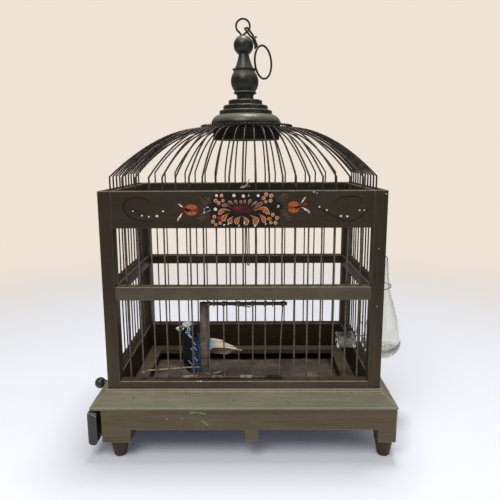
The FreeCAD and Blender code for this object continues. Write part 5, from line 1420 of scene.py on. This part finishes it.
def feathered(name, feathers):
    """A mesh of feathers, each (place, heading, facing, length, width, shade) in millimetres."""
    roots = bpy.data.meshes.new(name + "_roots")
    roots.from_pydata([Vector(feather[0]) * MM for feather in feathers], [], [])
    turns, sizes, shades = [], [], []
    for place, heading, facing, length, width, shade in feathers:
        along = Vector(heading).normalized()
        side = Vector(facing).cross(along).normalized()
        turn = Matrix((along, side, along.cross(side))).transposed().to_euler()
        turns += list(turn)
        sizes += [length * MM, width * MM, width * 0.28 * MM]
        shades.append(shade)
    roots.attributes.new("turn", "FLOAT_VECTOR", "POINT").data.foreach_set("vector", turns)
    roots.attributes.new("size", "FLOAT_VECTOR", "POINT").data.foreach_set("vector", sizes)
    roots.attributes.new("shade", "FLOAT", "POINT").data.foreach_set("value", shades)
    return made_by(plumage, name, roots, Blade=blade)


def unfeathered(mesh):
    """Gives a smooth core, even and dark, the attributes that its feathers' material reads."""
    for kind in ("shade", "reach"):
        mesh.attributes.new(kind, "FLOAT", "POINT")
    return mesh


def lofted(name, sections, sides=28):
    """A closed soft form through sections of (x, z, half height, half width) along the bird."""
    points = [Vector((x, z)) for x, z, high, wide in sections]
    vertices = []
    for index, (x, z, high, wide) in enumerate(sections):
        run = (points[min(index + 1, len(points) - 1)] - points[max(index - 1, 0)]).normalized()
        up = Vector((-run.y, run.x))
        for side in range(sides):
            angle = 2 * math.pi * side / sides
            lift = high * math.cos(angle)
            vertices.append(((x + up.x * lift) * MM, (bird_y + wide * math.sin(angle)) * MM,
                             (z + up.y * lift) * MM))
    return unfeathered(shell(name, vertices, tube_faces(len(sections), sides)))


ruffle = random.Random(11)
navy = dyed_feathers("dyed navy feathers", "#101217", "#4a749b", "#5d7590")
body_sections = [(-62, 132.5, 2, 2), (-61.4, 130, 6, 6), (-60.6, 126, 8, 8), (-59.4, 120, 9.4, 9.6),
                 (-58.2, 112, 10.8, 11.2), (-57.2, 104, 11.9, 12), (-56.8, 96, 12.1, 12),
                 (-56.6, 89, 11.8, 11.4), (-56.4, 84.5, 10, 9.6), (-56.2, 82, 6, 6),
                 (-56, 81, 2.4, 2.4)]
breast_feathers = []
for row in range(19):
    share = row / 18
    level = 87.5 + 40.5 * share
    index = max(i for i in range(len(body_sections)) if body_sections[i][1] >= level)
    above, below = body_sections[index], body_sections[min(index + 1, len(body_sections) - 1)]
    mix = (above[1] - level) / max(above[1] - below[1], 0.1)
    middle, half_x, half_y = (above[i] + (below[i] - above[i]) * mix for i in (0, 2, 3))
    count = 22
    for step in range(count):
        angle = 2 * math.pi * (step + 0.5 * (row % 2) + ruffle.uniform(-0.15, 0.15)) / count
        out = Vector((math.cos(angle), math.sin(angle), 0))
        place = Vector((middle + out.x * (half_x - 0.5), bird_y + out.y * (half_y - 0.5),
                        level + ruffle.uniform(-0.6, 0.6)))
        sweep = 0.75 if out.y < 0.3 else 0.2
        heading = Vector((sweep, 0, -1)) + out * 0.16
        rightward = (place.x + 69) / 24
        lowness = (128 - level) / 44
        shade = min(max(1.0 * rightward + 0.35 * lowness - 0.5 + ruffle.uniform(-0.3, 0.34), 0), 1)
        breast_feathers.append((place, heading, out, ruffle.uniform(6.2, 8.6),
                                ruffle.uniform(2.0, 2.9), shade))
body_mesh = joined_mesh("bird_body_feathers", [lofted("bird_core", body_sections),
                                               feathered("breast", breast_feathers)])
finished("bird_body_feathers", body_mesh, navy, "cage", ["bird_body"], 60)

sky = dyed_feathers("pale blue feathers", "#7fa6cc", "#b3d2ee", "#d2dfea")
streaks = [((-64.6, bird_y - 7.6, 129.4), (1, -0.25, -0.8), (-0.3, -1, 0.2), 7.5, 2.8, 0.5),
           ((-61.6, bird_y - 8.8, 126.6), (1, -0.2, -0.9), (-0.2, -1, 0.2), 6.5, 2.3, 0.3),
           ((-63.6, bird_y - 8.4, 131.2), (1, -0.2, -0.5), (-0.3, -1, 0.2), 5.5, 0.9, 0.1),
           ((-59, bird_y - 11.2, 112), (0.8, -0.1, -1), (0, -1, 0.1), 7, 1.0, 0.0),
           ((-62, bird_y - 11.6, 98), (0.9, -0.1, -1), (0, -1, 0.1), 8, 1.1, 0.0),
           ((-57, bird_y - 10.6, 120.5), (0.7, -0.1, -1), (0, -1, 0.1), 7, 1.3, 0.1),
           ((-56, bird_y - 11.4, 114.5), (0.7, -0.1, -1), (0, -1, 0.1), 7, 1.2, 0.0),
           ((-55.5, bird_y - 12.1, 102), (0.9, -0.1, -1), (0, -1, 0.1), 7, 1.4, 0.1)]
for sign in (-1, 1):
    drop = 0 if sign < 0 else 9
    for row, (x, tops) in enumerate(((-43.6, (123, 120.6, 118.2, 115.8)),
                                     (-40.8, (123, 120.6, 118.2, 115.6)),
                                     (-38.2, (122, 119.6, 117.2, 114.8)),
                                     (-36.0, (121, 118.8, 116.6)), (-34.0, (118.8, 117)))):
        for z in tops:
            place = (x, bird_y + sign * (11.6 + 0.3 * row), z - drop)
            streaks.append((place, (0.3, 0.05 * sign, -1), (0, sign, 0), 5.0, 3.2,
                            ruffle.uniform(0.3, 1)))
finished("bird_blue_feathers", feathered("bird_blue_feathers", streaks), sky, "cage", [],
         60)

cream = dyed_feathers("cream quills", "#b9a98c", "#e6dcc6", "#cbb894")
quills = []
wing = (((-43, 122.6), (-22.5, 118.8), 2.8, 1.0), ((-43, 120.8), (-16, 115.0), 2.8, 0.35),
        ((-43, 118.9), (-11, 112.8), 2.9, 0.7), ((-41, 118), (-1.2, 107.6), 1.8, 0.9),
        ((-42.5, 116.8), (-8, 111.2), 2.8, 0.25), ((-42, 115), (-12, 111.1), 2.6, 0.8),
        ((-41, 113.7), (-19, 111.6), 2.4, 1.0))
for sign, drop in ((-1, 0), (1, 9)):
    for order, ((root_x, root_z), (tip_x, tip_z), width, shade) in enumerate(wing):
        root = Vector((root_x, bird_y + sign * (11 - 0.3 * order), root_z - drop))
        tip = Vector((tip_x, bird_y + sign * (8 + 0.2 * order), tip_z - drop * 0.7))
        quills.append((root, tip - root, (0, sign, 0.25), (tip - root).length, width, shade))
finished("bird_wing_feathers", feathered("bird_wing_feathers", quills), cream, "cage",
         ["bird_wings"], 60)

umber = dyed_feathers("brown tail feathers", "#4c3a2b", "#7d6450", "#8d7a62")
tail = []
for order in range(9):
    spread = (order - 4) / 4
    root = (-46, bird_y + 3.4 * spread, 109 - 1.2 * abs(spread))
    heading = Vector((36 - 7 * abs(spread), 8.5 * spread, -2.4 - 1.2 * (1 - abs(spread))))
    tail.append((root, heading, (0, 0.5 * spread, 1), heading.length, 5.0,
                 ruffle.uniform(0.1, 0.9)))
for order in range(5):
    spread = (order - 2) / 2
    tail.append(((-44, bird_y + 4.4 * spread, 108), (16, 2 * spread, -6.5), (0, 0.7 * spread, -1),
                 17 - 2 * abs(spread), 4.6, ruffle.uniform(0.2, 1)))
finished("bird_tail_feathers", feathered("bird_tail_feathers", tail), umber, "cage", ["bird_tail"],
         60)

soot = dyed_feathers("black face feathers", "#0b0c0f", "#1b2029", "#20262f")
head_centre, head_radius = Vector((-62.8, bird_y, 129)), 7.6
face_feathers, cap_feathers = [], []
for row in range(9):
    polar = math.radians(20 + 17 * row)
    ring = max(int(17 * math.sin(polar)), 6)
    for step in range(ring):
        angle = 2 * math.pi * (step + 0.5 * (row % 2)) / ring
        out = Vector((-math.cos(polar), math.sin(polar) * math.sin(angle),
                      math.sin(polar) * math.cos(angle)))
        heading = out.cross(Vector((-1, 0, 0)).cross(out)) * -1 + out * 0.25
        place = head_centre + out * (head_radius - 0.4)
        crown_side = out.z - 0.12 * out.x
        (cap_feathers if crown_side > 0.9 else face_feathers).append(
            (place, heading, out, ruffle.uniform(4.2, 5.4), ruffle.uniform(2.2, 2.8),
             ruffle.uniform(0, 1)))
head_core = turned_mesh("head_core", profile(
    [(0, -head_radius)] + [(head_radius * math.sin(math.pi * step / 14),
                            -head_radius * math.cos(math.pi * step / 14))
                           for step in range(1, 14)] + [(0, head_radius)]), head_centre, 24)
unfeathered(head_core)
finished("bird_head_feathers",
         joined_mesh("bird_head_feathers", [head_core, feathered("face", face_feathers)]), soot,
         "cage", ["bird_head"], 60)
frost = dyed_feathers("pale grey cap feathers", "#ccd4d6", "#f2f7f7", "#ffffff")
for step in range(16):
    share = step / 15
    cap_feathers.append(((-67.6 + 7.2 * share, bird_y - 2.4 - 2.4 * math.sin(math.pi * share),
                          137.2 - 1.6 * share), (1, -0.3, -0.3), (0, -0.5, 1),
                         ruffle.uniform(2.8, 3.6), 2.3, ruffle.uniform(0, 1)))
cap_core = turned_mesh("cap_core", profile([(0, 0), (5.7, 0), (5.2, 1.4, 1.6), (3, 2.7), (0, 3.2)]),
                       (-63.2, bird_y - 0.8, 134.6), 20, (0.16, -0.2, 1))
unfeathered(cap_core)
finished("bird_cap_feathers", joined_mesh("bird_cap_feathers",
                                          [cap_core, feathered("cap", cap_feathers)]), frost,
         "cage", [], 60)


def horn_skin(name, colour, shade):
    """Thin pale paint on a carved beak, chalky and a little stained."""
    material, tree, place = new_material(name)
    stain = noise(tree, place, 500, 3)
    tone = ramp(tree, stain, (0.36, shade), (0.6, colour))
    bump = relief(tree, stain, 0.2, 0.1)
    return coated(material, tone, 0.45, bump)


horn = horn_skin("pale beak and eye rings", "#ffffff", "#dcdcd6")
beak = [turned_mesh("upper_beak", profile([(0, 0), (2.6, 0), (2.5, 1.2), (1.5, 4.6, 9),
                                           (0.5, 6.2, 4), (0, 6.4)]),
                    (-69.6, bird_y - 1, 130.7), 20, (-1, 0, 0.06)),
        turned_mesh("lower_beak", profile([(0, 0), (1.7, 0), (1.6, 1), (0.8, 3.6, 6), (0, 4.4)]),
                    (-69.8, bird_y - 1, 128.6), 16, (-1, 0, 0.1))]
cheek = turned_mesh("cheek_spot", profile([(0, -0.4), (1.5, -0.4), (1.3, 0.3, 1), (0, 0.6)]),
                    (-67.4, bird_y - 6.2, 132.4), 14, (-0.55, -0.83, 0.1))
bill_and_cheek = joined_mesh("bird_beak", beak + [cheek])
gape = turned_mesh("gape", profile([(0, -0.8), (1.9, -0.4), (1.9, 0.4), (0, 0.8)]),
                   (-70.6, bird_y - 3.7, 131.3), 14, (0, -1, 0))
unfeathered(gape)
finished("bird_gape", gape, soot, "cage", [], 50)
finished("bird_beak", bill_and_cheek, horn, "cage", [], 50)
eye_rings, eye_beads = [], []
for sign in (-1, 1):
    centre = Vector((-60.6, bird_y + sign * 8.2, 132.6))
    eye_rings.append(circle_points(centre + Vector((0, sign * 0.3, 0)), 1.55, 18, (0, 1, 0))
                     + [True])
    eye_beads.append(turned_mesh("bead", profile([(0, -1.2), (1.2, -0.6, 1.4), (1.2, 0.3, 1.4),
                                                  (0, 1.1, 1.4)]), centre, 16, (0, sign, 0)))
wired("bird_eye_rings", eye_rings, 0.42, horn, "cage", sides=6)
bead_glass, tree, place = new_material("black glass bead")
cloud = noise(tree, place, 900)
tone = ramp(tree, cloud, (0.4, "#0b0b0d"), (0.7, "#1c1d22"))
dull = ranged(tree, cloud, 0.3, 0.7, 0.08, 0.2)
coated(bead_glass, tone, dull)
finished("bird_eye_beads", joined_mesh("bird_eye_beads", eye_beads), bead_glass, "cage", [],
         60)

claw_lines = []
for level, sign in ((96, -1), (105, 1)):
    claw_lines.append(circle_points((dowel_x, dowel_y, level), dowel_radius + 0.7, 20,
                                    (0.12 * sign, 0.1, 1)) + [True])
    claw_lines.append([(-50, bird_y - 5, level + 3), (-47.5, -65.5, level + 2),
                       (dowel_x - 1.5, dowel_y + dowel_radius + 0.8, level)])
wired("bird_claws_bent", claw_lines, 0.55, thin_wire, "cage", ["bird_claws"])
bpy.data.objects.remove(blade)
